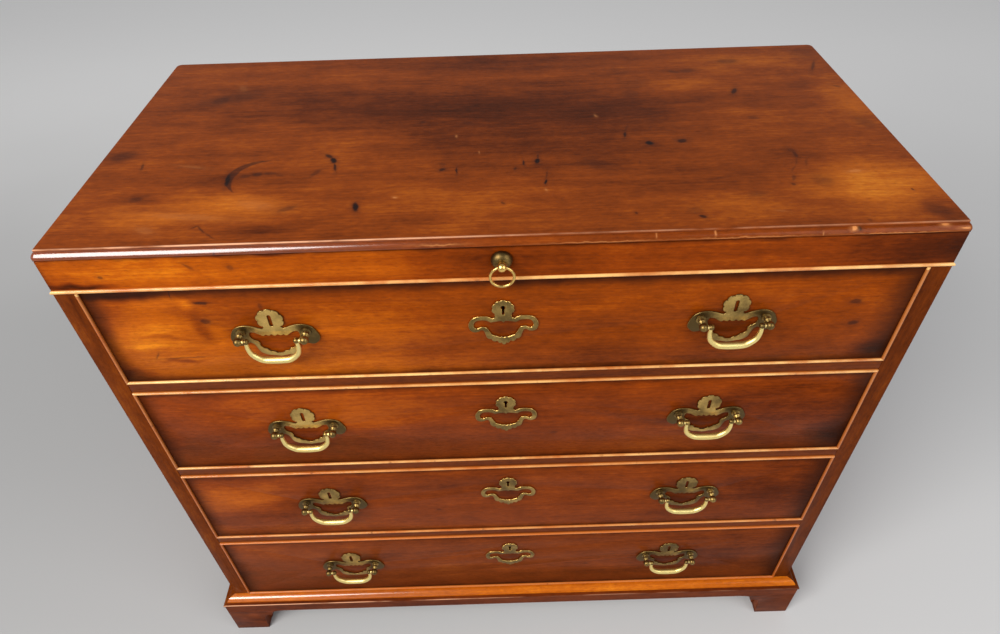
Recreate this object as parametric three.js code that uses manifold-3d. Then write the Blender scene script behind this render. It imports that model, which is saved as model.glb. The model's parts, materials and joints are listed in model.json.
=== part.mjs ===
// Bachelors chest: four graduated drawers under a brushing slide and a moulded top, on bracket feet.
// Millimetres, +Z up, the front faces -Y. The origin is on the floor, in the middle of the outline.
import * as THREE from 'three';
import { mergeVertices } from 'three/addons/utils/BufferGeometryUtils.js';
import Module from 'manifold-3d';

const wasm = await Module();
wasm.setup();

// Case
const caseWidth = 920;
const caseDepth = 442;
const caseHeight = 808;
const sideThickness = 22;
const housingDepth = 6;
const backThickness = 9;
const backRebate = 12;
const backBoards = 5;
const backGroove = 2;
const bottomThickness = 18;
const railThickness = 15;
const railDepth = 60;
const runnerWidth = 38;
const dividerBackGap = 5;
const dustPanelThickness = 7;
const tongueSetback = 24;

// Fit of the joints
const seam = 0.3;
const drawerGap = 0.6;
const slideGap = 0.7;
const overrun = 2;

// Top and its moulding
const topThickness = 13;
const topFillet = 2.4;
const topFilletSetback = 3;
const topCornerRadius = 7;
const topMouldWidth = 12;
const topMouldReach = 2.2;
const topMouldFillet = 1.9;
const topMouldFilletReach = 1.2;

// Brushing slide
const slideFrontHeight = 41;
const slideFrontThickness = 11;
const slideBoardThickness = 15;
const slideBoardDepth = 335;
const slideTongue = 5;
const slideTongueThickness = 6;
const slideBeadHeight = 4;
const topRailThickness = 18;
const topRailRise = 2.2;

// Drawers, from the top one down: the shares of the height that is left for their fronts
const drawerShares = [0.2253, 0.2496, 0.2598, 0.2653];
const drawerFrontThickness = 20;
const drawerSideThickness = 10;
const drawerSideDrop = 6;
const drawerBackThickness = 9;
const drawerBackDrop = 12;
const drawerBottomThickness = 7;
const drawerBottomRise = 6;
const drawerBottomTongue = 6;
const drawerBackGap = 18;
const dovetailCount = 3;
const dovetailLength = 12;
const dovetailRootShare = 0.5;
const dovetailTipShare = 0.7;

// Cockbeads
const beadWidth = 3;
const beadReach = 2.6;
const beadLetIn = 7.4;

// Base
const footHeight = 62;
const fasciaHeight = 20.5;
const fasciaReach = 16.5;
const baseMouldHeight = 12;
const baseMouldReach = 17.7;
const baseMouldFillet = 3;
const bracketThickness = 16;
const bracketTopWidth = 90;
const bracketBottomWidth = 54;
const bracketCuspWidth = 71;
const bracketCuspHeight = 48;
const bracketStraight = 27;
const glueBlock = 40;
const glueBlockLift = 5;
const backBraceWidth = 84;

// Handles: a pierced plate, two turned posts and a bail
const handleOffset = 248.5;
const handleRise = 7;
const plateWidth = 97;
const plateHead = 33.4;
const plateDrop = 36.2;
const plateThickness = 1.8;
const headCentreRise = 18.4;
const headLobes = 7;
const headSpread = THREE.MathUtils.degToRad(134);
const headLobeShare = 0.11;
const slotWidth = 3.6;
const slotHeight = 16;
const slotRise = 17;
const postSpacing = 71;
const postReach = 15.4;
const ballRadius = 4.8;
const collarRadius = 5.4;
const neckRadius = 2.9;
const ringRadius = 4.3;
const collarShare = 0.15;
const neckShare = 0.4;
const ringShare = 0.7;
const shankRadius = 2.4;
const nutRadius = 5.6;
const nutThickness = 3;
const ballNeckTurn = Math.PI / 3;
const shankTail = 4.5;
const pinRadius = 1.6;
const pinDepth = 3.6;
const pinClearance = 0.3;

// Bails
const bailDrop = 28.5;
const bailShoulder = 27.4;
const bailEndRadius = 2;
const bailMiddleRadius = 4.1;
const bailKnopRadius = 3.3;
const bailFreePlay = 0.4;
const swellPower = 1.7;
const bailPathShares = [[1.03, 0.02], [1, 0.1], [1, 0.35], [0.9, 0.68], [0.6, 0.94], [0.3, 1]];

// Escutcheons and locks
const escutcheonWidth = 76;
const escutcheonHead = 14;
const escutcheonHeadRadius = 12.4;
const escutcheonDrop = 51;
const escutcheonDepth = 40;
const escutcheonSpreadShare = 0.9;
const keyholeDepth = 36.5;
const keyholeRadius = 2.6;
const keyholeSlot = 2.6;
const keyholeLength = 10;
const lockWidth = 52;
const lockHeight = 52;
const lockThickness = 9;
const lockPlateWidth = 62;
const lockPlateThickness = 2.2;
const lockPlateDepth = 11;
const lockWall = 2.2;
const boltWidth = 18;
const boltThickness = 3.6;
const boltHeight = 29;
const boltThrow = 7;
const boltPlay = 0.4;
const keyPinRadius = 1.2;

// Ring pull of the slide
const roseRadius = 11;
const roseReach = 8;
const eyeRadius = 5;
const eyeReach = 13.2;
const eyeNeckTurn = Math.PI / 4;
const eyeBoreRadius = 2.6;
const ringMeanRadius = 12.1;
const ringWireRadius = 1.5;
const knobRise = 26.3;
const knobStemRadius = 2.6;

// Number of faces and steps round the curves
const mouldSteps = 5;
const brassSteps = 2;
const lobeSteps = 3;
const postFaces = 8;
const ballSteps = 3;
const nutFaces = 4;
const holeFaces = 8;
const bailFaces = 6;
const bailSteps = 14;
const knopFaces = 8;
const knopSteps = 5;
const ringFaces = 6;
const ringSteps = 24;
const roseFaces = 12;

// Levels and half widths that follow from the sizes
const halfCase = caseWidth / 2;
const halfInner = halfCase - sideThickness;
const halfHoused = halfInner + housingDepth;
const fasciaTop = footHeight + fasciaHeight;
const caseFloor = fasciaTop + baseMouldHeight;
const caseLow = caseFloor - bottomThickness;
const halfDrawer = halfInner - drawerGap;
const backFace = caseDepth - backThickness;
const dividerDepth = backFace - dividerBackGap;
const drawerDepth = backFace - drawerBackGap;

const overDrawers = slideGap * 2 + slideFrontHeight + topThickness;
const betweenDrawers = (drawerShares.length - 1) * (drawerGap + railThickness);
const drawerSpace = caseHeight - caseFloor - overDrawers - betweenDrawers - drawerShares.length * drawerGap;
const drawers = [];
let rest = caseFloor;
for (const share of [...drawerShares].reverse()) {
  const low = rest + drawerGap;
  const high = low + share * drawerSpace;
  drawers.unshift({ rest, low, high, centre: (low + high) / 2 });
  rest = high + drawerGap + railThickness;
}
const slideFrontLow = drawers[0].high + slideGap;
const slideFrontHigh = slideFrontLow + slideFrontHeight;
const topLow = slideFrontHigh + slideGap;
const topHigh = topLow + topThickness;
const topRailLow = slideFrontLow + topRailRise;
const topRailHigh = topRailLow + topRailThickness;
const slideBoardLow = topRailHigh + seam;
const slideBoardHigh = slideBoardLow + slideBoardThickness;
const knobLevel = slideFrontLow + knobRise;

const mahogany = { color: 0x8a3c12, roughness: 0.38, metalness: 0 };
const darkMahogany = { color: 0x5e2a12, roughness: 0.45, metalness: 0 };
const beadWood = { color: 0xb8742c, roughness: 0.4, metalness: 0 };
const oak = { color: 0x9a7245, roughness: 0.7, metalness: 0 };
const brass = { color: 0xb08d45, roughness: 0.32, metalness: 1 };
const steel = { color: 0x6f6a64, roughness: 0.5, metalness: 1 };

// Solids

function toSolid(geometry) {
  geometry.deleteAttribute('normal');
  geometry.deleteAttribute('uv');
  const merged = mergeVertices(geometry);
  return new wasm.Manifold(new wasm.Mesh({
    numProp: merged.attributes.position.itemSize,
    vertProperties: Float32Array.from(merged.attributes.position.array),
    triVerts: Uint32Array.from(merged.index.array),
  }));
}

function toGeometry(solid) {
  const { vertProperties, triVerts, numProp } = solid.getMesh();
  const geometry = new THREE.BufferGeometry();
  geometry.setAttribute('position', new THREE.BufferAttribute(vertProperties, numProp));
  geometry.setIndex(new THREE.BufferAttribute(triVerts, 1));
  geometry.computeVertexNormals();
  return geometry;
}

function join(...solids) {
  return solids.reduce((whole, next) => whole.add(next));
}

function cut(body, ...tools) {
  return tools.reduce((whole, tool) => whole.subtract(tool), body);
}

function mirrorX(solid) {
  return solid.mirror([1, 0, 0]);
}

// A block between two levels along each axis.
function block([left, right], [front, back], [low, high]) {
  const box = new THREE.BoxGeometry(right - left, back - front, high - low);
  return toSolid(box.translate((left + right) / 2, (front + back) / 2, (low + high) / 2));
}

function extruded(shape, depth, curveSegments) {
  return new THREE.ExtrudeGeometry(shape, { depth, curveSegments, bevelEnabled: false });
}

// An outline in X and Z, made into a plate between two depths.
function frontPlate(shape, [front, back], curveSegments = mouldSteps) {
  return toSolid(extruded(shape, back - front, curveSegments).rotateX(Math.PI / 2).translate(0, back, 0));
}

// An outline in Y and Z, made into a plate between two places across.
function sidePlate(shape, [left, right]) {
  const plate = extruded(shape, right - left, mouldSteps).rotateX(Math.PI / 2).rotateZ(Math.PI / 2);
  return toSolid(plate.translate(left, 0, 0));
}

// A round rod along X or Y, between two places on that axis.
function rodX(radius, [left, right], depth, level, faces) {
  const rod = new THREE.CylinderGeometry(radius, radius, right - left, faces);
  return toSolid(rod.rotateZ(Math.PI / 2).translate((left + right) / 2, depth, level));
}

function rodY(radius, [front, back], across, level, faces) {
  const rod = new THREE.CylinderGeometry(radius, radius, back - front, faces);
  return toSolid(rod.translate(across, (front + back) / 2, level));
}

// A turning about the Y axis: its profile holds [radius, reach] points, and reach runs forward.
function turning(profile, faces) {
  const points = profile.map(([radius, reach]) => new THREE.Vector2(radius, reach));
  return toSolid(new THREE.LatheGeometry(points, faces).rotateX(Math.PI));
}

function arcPoints(centre, radius, from, to, steps) {
  const points = [];
  for (let step = 0; step <= steps; step += 1) {
    const angle = from + ((to - from) * step) / steps;
    points.push([centre[0] + radius * Math.cos(angle), centre[1] + radius * Math.sin(angle)]);
  }
  return points;
}

function rightOf(from, to) {
  const along = new THREE.Vector2(to[0] - from[0], to[1] - from[1]).normalize();
  return new THREE.Vector2(along.y, -along.x);
}

// A moulding of one profile, mitred at the corners of a path in X and Y.
// The profile holds [out, up] points, and out is to the right of the path.
function moulding(path, profile, closed = false) {
  const positions = [];
  path.forEach((corner, index) => {
    const previous = path[index - 1] ?? (closed ? path.at(-1) : null);
    const next = path[index + 1] ?? (closed ? path[0] : null);
    const before = previous ? rightOf(previous, corner) : rightOf(corner, next);
    const after = next ? rightOf(corner, next) : before;
    const mitre = before.clone().add(after).divideScalar(1 + before.dot(after));
    profile.forEach(([out, up]) => positions.push(corner[0] + mitre.x * out, corner[1] + mitre.y * out, up));
  });
  const size = profile.length;
  const faces = [];
  const legs = closed ? path.length : path.length - 1;
  for (let leg = 0; leg < legs; leg += 1) {
    const start = leg * size;
    const end = ((leg + 1) % path.length) * size;
    for (let point = 0; point < size; point += 1) {
      const beside = (point + 1) % size;
      faces.push(start + point, end + point, end + beside);
      faces.push(start + point, end + beside, start + beside);
    }
  }
  if (!closed) {
    const outline = profile.map(([out, up]) => new THREE.Vector2(out, up));
    const last = (path.length - 1) * size;
    THREE.ShapeUtils.triangulateShape(outline, []).forEach(([a, b, c]) => {
      faces.push(a, b, c);
      faces.push(last + a, last + c, last + b);
    });
  }
  const geometry = new THREE.BufferGeometry();
  geometry.setAttribute('position', new THREE.Float32BufferAttribute(positions, 3));
  geometry.setIndex(faces);
  return geometry;
}

// A rod through rings in the XZ plane, each with its middle, its direction and its radius.
function rodThrough(rings, faces) {
  const positions = [];
  rings.forEach(({ middle, along, radius }) => {
    const up = new THREE.Vector3(-along.z, 0, along.x);
    const back = new THREE.Vector3().crossVectors(along, up);
    for (let face = 0; face < faces; face += 1) {
      const angle = (2 * Math.PI * face) / faces;
      const point = middle.clone().addScaledVector(up, radius * Math.cos(angle));
      positions.push(...point.addScaledVector(back, radius * Math.sin(angle)).toArray());
    }
  });
  const indices = [];
  const last = (rings.length - 1) * faces;
  for (let here = 0; here < last; here += faces) {
    for (let face = 0; face < faces; face += 1) {
      const beside = (face + 1) % faces;
      const there = here + faces;
      indices.push(here + face, here + beside, there + beside);
      indices.push(here + face, there + beside, there + face);
    }
  }
  for (let face = 1; face < faces - 1; face += 1) {
    indices.push(0, face + 1, face);
    indices.push(last, last + face, last + face + 1);
  }
  const geometry = new THREE.BufferGeometry();
  geometry.setAttribute('position', new THREE.Float32BufferAttribute(positions, 3));
  geometry.setIndex(indices);
  return toSolid(geometry);
}

const chest = new THREE.Group();
chest.name = 'bachelors_chest';

function place(name, solid, finish) {
  const mesh = new THREE.Mesh(toGeometry(solid), new THREE.MeshStandardMaterial(finish));
  mesh.name = name;
  chest.add(mesh);
}

// Case

const beadProfile = [
  [-beadWidth, -beadLetIn],
  [0, -beadLetIn],
  ...arcPoints([-beadWidth / 2, beadReach - beadWidth / 2], beadWidth / 2, 0, Math.PI, mouldSteps),
];

function caseSide() {
  let side = block([halfInner, halfCase], [0, caseDepth], [caseLow, topLow - seam]);
  const inner = halfInner - overrun;
  const housed = [inner, halfHoused];
  const slideLap = [slideFrontLow - slideGap, topLow];
  const rebate = [caseLow - overrun, topLow];
  side = cut(
    side,
    block([inner, halfCase + overrun], [-overrun, slideFrontThickness + seam], slideLap),
    block(housed, [0, slideBoardDepth + railDepth], [topRailHigh, slideBoardHigh + seam]),
    block(housed, [tongueSetback - seam, railDepth + seam], [topRailLow - seam, topRailHigh + seam]),
    block(housed, [-overrun, backFace], [caseLow - overrun, caseFloor + seam]),
    block([inner, halfInner + backRebate], [backFace, caseDepth + overrun], rebate),
  );
  for (const drawer of drawers.slice(0, -1)) {
    const rail = [drawer.rest - railThickness - seam, drawer.rest + seam];
    side = cut(side, block(housed, [tongueSetback - seam, dividerDepth + seam], rail));
  }
  return side;
}

// The rail and the dust board between two drawers, framed in one, with the mortise for the bolt below.
function dividerSolid(drawer) {
  const level = [drawer.rest - railThickness, drawer.rest];
  const panelInset = (railThickness - dustPanelThickness) / 2;
  const panelHalf = halfInner - runnerWidth;
  const panelSpan = [railDepth, dividerDepth - railDepth];
  return cut(
    join(
      block([-halfInner + seam, halfInner - seam], [0, dividerDepth], level),
      block([-halfHoused + seam, halfHoused - seam], [tongueSetback, dividerDepth], level),
    ),
    block([-panelHalf, panelHalf], panelSpan, [drawer.rest - panelInset, drawer.rest + overrun]),
    block([-panelHalf, panelHalf], panelSpan, [level[0] - overrun, level[0] + panelInset]),
    boltMortise(level[0]),
  );
}

function topRailSolid() {
  const level = [topRailLow, topRailHigh];
  const front = slideFrontThickness + seam;
  return cut(
    join(
      block([-halfInner + seam, halfInner - seam], [front, railDepth], level),
      block([-halfHoused + seam, halfHoused - seam], [tongueSetback, railDepth], level),
    ),
    boltMortise(topRailLow),
  );
}

function boltMortise(low) {
  const play = boltPlay + seam;
  const [front, back] = boltSpan();
  return block(
    [-boltWidth / 2 - play, boltWidth / 2 + play],
    [front - play, back + play],
    [low - overrun, low + boltThrow + play],
  );
}

function boltSpan() {
  const front = drawerFrontThickness - lockThickness + lockWall + boltPlay;
  return [front, front + boltThickness];
}

// The top is stepped under its edge, where the moulding is planted.
function topBoardSolid() {
  const half = halfCase - topFilletSetback;
  const outline = new THREE.Shape();
  outline.moveTo(-half, topFilletSetback);
  outline.lineTo(half, topFilletSetback);
  outline.lineTo(half, caseDepth - topCornerRadius);
  outline.absarc(half - topCornerRadius, caseDepth - topCornerRadius, topCornerRadius, 0, Math.PI / 2);
  outline.lineTo(topCornerRadius - half, caseDepth);
  outline.absarc(topCornerRadius - half, caseDepth - topCornerRadius, topCornerRadius, Math.PI / 2, Math.PI);
  const board = toSolid(extruded(outline, topThickness, mouldSteps));
  const rebate = topThickness - topFillet;
  const inner = halfCase - topMouldWidth;
  const core = block([-inner, inner], [topMouldWidth, caseDepth + overrun], [-overrun, rebate]);
  const under = block([-halfCase, halfCase], [0, caseDepth + overrun], [-overrun, rebate]);
  return cut(board, cut(under, core)).translate([0, 0, topLow]);
}

function roundThreeSides(back) {
  return [[-halfCase, back], [-halfCase, 0], [halfCase, 0], [halfCase, back]];
}

// Lower fillet, then a full ovolo that turns back into the quirk under the top's arris.
function topMouldSolid() {
  const high = topThickness - topFillet - seam;
  const bulge = high - topMouldFillet;
  const quirk = topMouldReach + topFilletSetback;
  const ovolo = [];
  for (let step = 0; step <= mouldSteps; step += 1) {
    const turn = (Math.PI * (step / mouldSteps)) / 2;
    ovolo.push([topMouldReach - quirk * (1 - Math.cos(turn)), topMouldFillet + bulge * Math.sin(turn)]);
  }
  const profile = [
    [-topMouldWidth + seam, 0],
    [topMouldFilletReach, 0],
    [topMouldFilletReach, topMouldFillet],
    ...ovolo,
    [-topMouldWidth + seam, high],
  ];
  return toSolid(moulding(roundThreeSides(caseDepth - topCornerRadius), profile)).translate([0, 0, topLow]);
}

// The plain fascia, its fillet, a cove and a rounded upper edge.
function baseMouldSolid() {
  const filletTop = fasciaTop + baseMouldFillet;
  const round = (baseMouldHeight - baseMouldFillet) / 2;
  const middle = filletTop + round;
  const profile = [
    [seam, footHeight],
    [fasciaReach, footHeight],
    [fasciaReach, fasciaTop],
    [baseMouldReach, fasciaTop],
    [baseMouldReach, filletTop],
    ...arcPoints([baseMouldReach, middle], round, -Math.PI / 2, -Math.PI, mouldSteps).slice(1),
    ...arcPoints([baseMouldReach - round * 2, middle], round, 0, Math.PI / 2, mouldSteps).slice(1),
    [seam, caseFloor],
  ];
  return toSolid(moulding(roundThreeSides(caseDepth), profile));
}

function backPanelSolid() {
  const half = halfInner + backRebate - seam;
  let panel = block([-half, half], [backFace + seam, caseDepth], [caseLow, topLow - seam]);
  for (let board = 1; board < backBoards; board += 1) {
    const across = -half + (2 * half * board) / backBoards;
    const groove = new THREE.Shape();
    groove.moveTo(across - backGroove, caseDepth + backGroove);
    groove.lineTo(across, caseDepth - backGroove);
    groove.lineTo(across + backGroove, caseDepth + backGroove);
    panel = cut(panel, toSolid(extruded(groove, topHigh, mouldSteps)));
  }
  return panel;
}

// The outline of a bracket, from its outer corner inwards: plain below, then an ogee up to the fascia.
function bracketOutline() {
  const top = footHeight - seam;
  const outline = new THREE.Shape();
  outline.moveTo(0, 0);
  outline.lineTo(bracketBottomWidth, 0);
  outline.lineTo(bracketBottomWidth, bracketStraight);
  outline.quadraticCurveTo(bracketBottomWidth, bracketCuspHeight, bracketCuspWidth, bracketCuspHeight);
  outline.quadraticCurveTo(bracketCuspWidth, top, bracketTopWidth, top);
  outline.lineTo(0, top);
  return outline;
}

function sideBracket(front, mirrored) {
  const outer = halfCase + fasciaReach;
  const bracket = sidePlate(bracketOutline(), [outer - bracketThickness, outer]);
  return (mirrored ? bracket.mirror([0, 1, 0]) : bracket).translate([0, front, 0]);
}

function glueBlockSolid([front, back]) {
  const side = halfCase - seam;
  return block([side - glueBlock, side], [front, back], [glueBlockLift, caseLow - seam]);
}

function frontFoot() {
  const outer = halfCase + fasciaReach;
  const face = frontPlate(bracketOutline(), [-fasciaReach, bracketThickness - fasciaReach]);
  return join(
    mirrorX(face).translate([outer, 0, 0]),
    sideBracket(-fasciaReach, false),
    glueBlockSolid([0, glueBlock]),
    block([halfCase - glueBlock, outer - overrun], [-overrun, glueBlock], [glueBlockLift, footHeight - seam]),
  );
}

// A back foot has the same bracket along the side and a plain brace across the back.
function backFoot() {
  const outer = halfCase + fasciaReach;
  const top = footHeight - seam;
  const filled = [caseDepth - glueBlock, caseDepth - overrun];
  const brace = new THREE.Shape();
  brace.moveTo(outer - overrun, 0);
  brace.lineTo(outer - overrun, top);
  brace.lineTo(outer - backBraceWidth, top);
  brace.lineTo(outer - bracketBottomWidth, 0);
  return join(
    frontPlate(brace, [caseDepth - bracketThickness, caseDepth]),
    sideBracket(caseDepth, true),
    glueBlockSolid([caseDepth - glueBlock - overrun, caseDepth - backThickness]),
    block([halfCase - glueBlock, outer - overrun], filled, [glueBlockLift, top]),
  );
}

function placePair(nameLeft, nameRight, solid, finish) {
  place(nameRight, solid, finish);
  place(nameLeft, mirrorX(solid), finish);
}

const bottom = block([-halfHoused + seam, halfHoused - seam], [0, backFace - seam], [caseLow, caseFloor]);

placePair('case_side_left', 'case_side_right', caseSide(), mahogany);
place('top_board', topBoardSolid(), mahogany);
place('top_moulding', topMouldSolid(), mahogany);
place('case_bottom', bottom, oak);
place('back_panel', backPanelSolid(), oak);
place('top_rail', topRailSolid(), oak);
drawers.slice(0, -1).forEach((drawer, index) => {
  place(`drawer_divider_${index + 1}`, dividerSolid(drawer), darkMahogany);
});
place('base_moulding', baseMouldSolid(), mahogany);
placePair('foot_front_left', 'foot_front_right', frontFoot(), darkMahogany);
placePair('foot_back_left', 'foot_back_right', backFoot(), darkMahogany);

// Brushing slide

// The front laps the ends of the case sides, and its bead returns round both ends.
function slideFrontSolid() {
  const round = slideBeadHeight / 2;
  const bead = [
    [-overrun, 0],
    ...arcPoints([beadReach - round, round], round, -Math.PI / 2, Math.PI / 2, mouldSteps),
    [-overrun, slideBeadHeight],
  ];
  const middle = (slideBoardLow + slideBoardHigh) / 2;
  const tongue = slideTongueThickness / 2 + seam;
  return cut(
    join(
      block([-halfCase, halfCase], [0, slideFrontThickness], [slideFrontLow, slideFrontHigh]),
      toSolid(moulding(roundThreeSides(slideFrontThickness), bead)).translate([0, 0, slideFrontLow]),
    ),
    block(
      [-halfInner - seam, halfInner + seam],
      [slideFrontThickness - slideTongue - seam, slideFrontThickness + overrun],
      [middle - tongue, middle + tongue],
    ),
    rodY(knobStemRadius + seam, [-overrun, slideFrontThickness], 0, knobLevel, holeFaces),
  );
}

function slideBoardSolid() {
  const middle = (slideBoardLow + slideBoardHigh) / 2;
  const half = halfHoused - seam * 2;
  const front = slideFrontThickness + seam;
  return join(
    block([-half, half], [front, slideBoardDepth], [slideBoardLow, slideBoardHigh]),
    block(
      [-halfInner, halfInner],
      [slideFrontThickness - slideTongue, front + overrun],
      [middle - slideTongueThickness / 2, middle + slideTongueThickness / 2],
    ),
  );
}

// A domed rose with an eye at its middle, and a stem through the slide's front.
function knobSolid() {
  const neck = eyeRadius * Math.cos(eyeNeckTurn);
  const dome = [];
  for (let step = 0; step <= mouldSteps; step += 1) {
    const turn = (Math.PI * (step / mouldSteps)) / 2;
    const radius = neck + (roseRadius - neck) * Math.cos(turn);
    dome.push([radius, seam + roseReach * Math.sin(turn)]);
  }
  const eye = arcPoints([0, eyeReach], eyeRadius, -eyeNeckTurn, Math.PI / 2, mouldSteps).slice(0, -1);
  const stemEnd = slideTongue + seam * 2 - slideFrontThickness;
  const body = turning([
    [0, stemEnd],
    [knobStemRadius, stemEnd],
    [knobStemRadius, seam],
    ...dome,
    ...eye,
    [0, eyeReach + eyeRadius],
  ], roseFaces);
  const bore = rodX(eyeBoreRadius, [-roseRadius, roseRadius], -eyeReach, 0, holeFaces);
  return cut(body, bore).translate([0, 0, knobLevel]);
}

function ringSolid() {
  const ring = new THREE.TorusGeometry(ringMeanRadius, ringWireRadius, ringFaces, ringSteps);
  return toSolid(ring.rotateX(Math.PI / 2).translate(0, -eyeReach, knobLevel - ringMeanRadius));
}

place('slide_board', slideBoardSolid(), mahogany);
place('slide_front', slideFrontSolid(), mahogany);
place('pull_knob', knobSolid(), brass);
place('pull_ring', ringSolid(), brass);

// Drawers

function dovetails(drawer, grow) {
  const low = drawer.rest + seam;
  const pitch = (drawer.high - drawerSideDrop - low) / dovetailCount;
  const root = drawerFrontThickness + seam + overrun;
  const tip = drawerFrontThickness - dovetailLength - grow;
  const tails = [];
  for (let tail = 0; tail < dovetailCount; tail += 1) {
    const centre = low + pitch * (tail + 1 / 2);
    const rootHalf = (pitch * dovetailRootShare) / 2 + grow;
    const tipHalf = (pitch * dovetailTipShare) / 2 + grow;
    const shape = new THREE.Shape();
    shape.moveTo(root, centre - rootHalf);
    shape.lineTo(root, centre + rootHalf);
    shape.lineTo(tip, centre + tipHalf);
    shape.lineTo(tip, centre - tipHalf);
    tails.push(sidePlate(shape, [halfDrawer - drawerSideThickness - grow, halfDrawer + grow]));
  }
  return join(...tails);
}

function drawerBoxSolid(drawer) {
  const outer = halfDrawer - seam;
  const inner = halfDrawer - drawerSideThickness;
  const front = drawerFrontThickness + seam;
  const low = drawer.rest + seam;
  const floor = [low + drawerBottomRise, low + drawerBottomRise + drawerBottomThickness];
  const trimmed = block([inner, outer], [0, drawerDepth], [low, drawer.high]);
  const side = join(
    block([inner, outer], [front, drawerDepth], [low, drawer.high - drawerSideDrop]),
    dovetails(drawer, 0).intersect(trimmed),
  );
  return join(
    side,
    mirrorX(side),
    block([-inner - overrun, inner + overrun], [front, drawerDepth], floor),
    block([overrun - inner, inner - overrun], [front - drawerBottomTongue, front + overrun], floor),
    block(
      [-inner - overrun, inner + overrun],
      [drawerDepth - drawerBackThickness, drawerDepth],
      [floor[0], drawer.high - drawerBackDrop],
    ),
  );
}

function keyholeCutter(span, grow) {
  const half = keyholeSlot / 2 + grow;
  const radius = keyholeRadius + grow;
  const turn = Math.acos(half / radius);
  const shape = new THREE.Shape();
  shape.moveTo(-half, -keyholeLength - grow);
  shape.lineTo(half, -keyholeLength - grow);
  shape.absarc(0, 0, radius, -turn, Math.PI + turn);
  return frontPlate(shape, span, brassSteps);
}

function drawerFrontSolid(drawer, beadOnTop) {
  const letIn = beadLetIn + seam;
  const inset = beadWidth + seam;
  const top = beadOnTop ? drawer.high - inset : drawer.high;
  const key = drawer.high - keyholeDepth;
  const posts = handlePosts(drawer).map(([across, level]) => (
    rodY(shankRadius + seam, [-overrun, drawerFrontThickness + overrun], across, level, holeFaces)
  ));
  const sockets = dovetails(drawer, seam);
  const floorLow = drawer.rest + seam + drawerBottomRise;
  const lockBack = [drawerFrontThickness - lockThickness - seam, drawerFrontThickness + overrun];
  return cut(
    join(
      block([-halfDrawer, halfDrawer], [letIn, drawerFrontThickness], [drawer.low, drawer.high]),
      block([-halfDrawer + inset, halfDrawer - inset], [0, letIn + overrun], [drawer.low + inset, top]),
    ),
    sockets,
    mirrorX(sockets),
    block(
      [-halfDrawer + drawerSideThickness, halfDrawer - drawerSideThickness],
      [drawerFrontThickness - drawerBottomTongue - seam, drawerFrontThickness + overrun],
      [floorLow - seam, floorLow + drawerBottomThickness + seam],
    ),
    block(
      [-lockWidth / 2 - seam, lockWidth / 2 + seam],
      lockBack,
      [drawer.high - lockHeight - seam, drawer.high + overrun],
    ),
    block(
      [-lockPlateWidth / 2 - seam, lockPlateWidth / 2 + seam],
      [drawerFrontThickness - lockPlateDepth - seam, drawerFrontThickness + overrun],
      [drawer.high - lockPlateThickness - seam, drawer.high + overrun],
    ),
    keyholeCutter([-overrun, drawerFrontThickness], seam).translate([0, 0, key]),
    ...posts,
  );
}

function cockbeadSolid(drawer, beadOnTop) {
  const path = [
    [-halfDrawer, drawer.high],
    [-halfDrawer, drawer.low],
    [halfDrawer, drawer.low],
    [halfDrawer, drawer.high],
  ];
  return toSolid(moulding(path, beadProfile, beadOnTop).rotateX(Math.PI / 2));
}

// Handles

function handlePosts(drawer) {
  const level = drawer.centre + handleRise;
  return [-handleOffset, handleOffset].flatMap((middle) => [
    [middle - postSpacing / 2, level],
    [middle + postSpacing / 2, level],
  ]);
}

// Points as shares of the half width across, and of the rise above or the drop below the middle.
function scaled(shares, halfWidth, rise, drop) {
  return shares.map(([across, up]) => new THREE.Vector2(across * halfWidth, up * (up < 0 ? drop : rise)));
}

function mirroredOutline(half) {
  const other = half.filter((point) => point.x > 0).map((point) => new THREE.Vector2(-point.x, point.y));
  return half.concat(other.reverse());
}

// The palmette at the head: lobes round an arc, cusped between them.
function palmette(centre, radius, lobeShare, spread) {
  const steps = headLobes * lobeSteps;
  const points = [];
  for (let step = Math.ceil(steps / 2); step <= steps; step += 1) {
    const share = step / steps - 1 / 2;
    const turn = share * 2 * spread;
    const lobe = Math.abs(Math.cos(Math.PI * headLobes * share));
    const reach = radius * (1 - lobeShare + lobeShare * Math.sqrt(lobe));
    points.push(new THREE.Vector2(reach * Math.sin(turn), centre + reach * Math.cos(turn)));
  }
  return points;
}

// Right half of the plate below its head: the swan-neck arm, the side lobe and the lower band.
const plateEdgeShares = [
  [0.195, 0.222], [0.235, 0.17], [0.32, 0.21], [0.4, 0.26], [0.57, 0.32], [0.73, 0.3], [0.82, 0.24], [0.9, 0.14],
  [0.97, -0.06], [1, -0.22], [0.97, -0.37], [0.88, -0.49], [0.8, -0.52], [0.7, -0.48], [0.6, -0.38],
  [0.52, -0.47], [0.48, -0.62], [0.43, -0.8], [0.3, -0.92], [0.16, -0.955], [0, -1],
];

// Right half of its opening, from the upper edge round to the lower edge.
const openingShares = [
  [0, -0.13], [0.035, -0.12], [0.07, -0.07], [0.13, -0.13], [0.2, -0.085], [0.26, -0.135], [0.34, -0.07],
  [0.43, 0.01], [0.53, 0.035], [0.565, -0.1], [0.53, -0.25], [0.43, -0.33], [0.385, -0.42], [0.385, -0.55],
  [0.33, -0.64], [0.265, -0.66], [0.21, -0.76], [0.12, -0.785], [0.06, -0.85], [0, -0.86],
];

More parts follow.
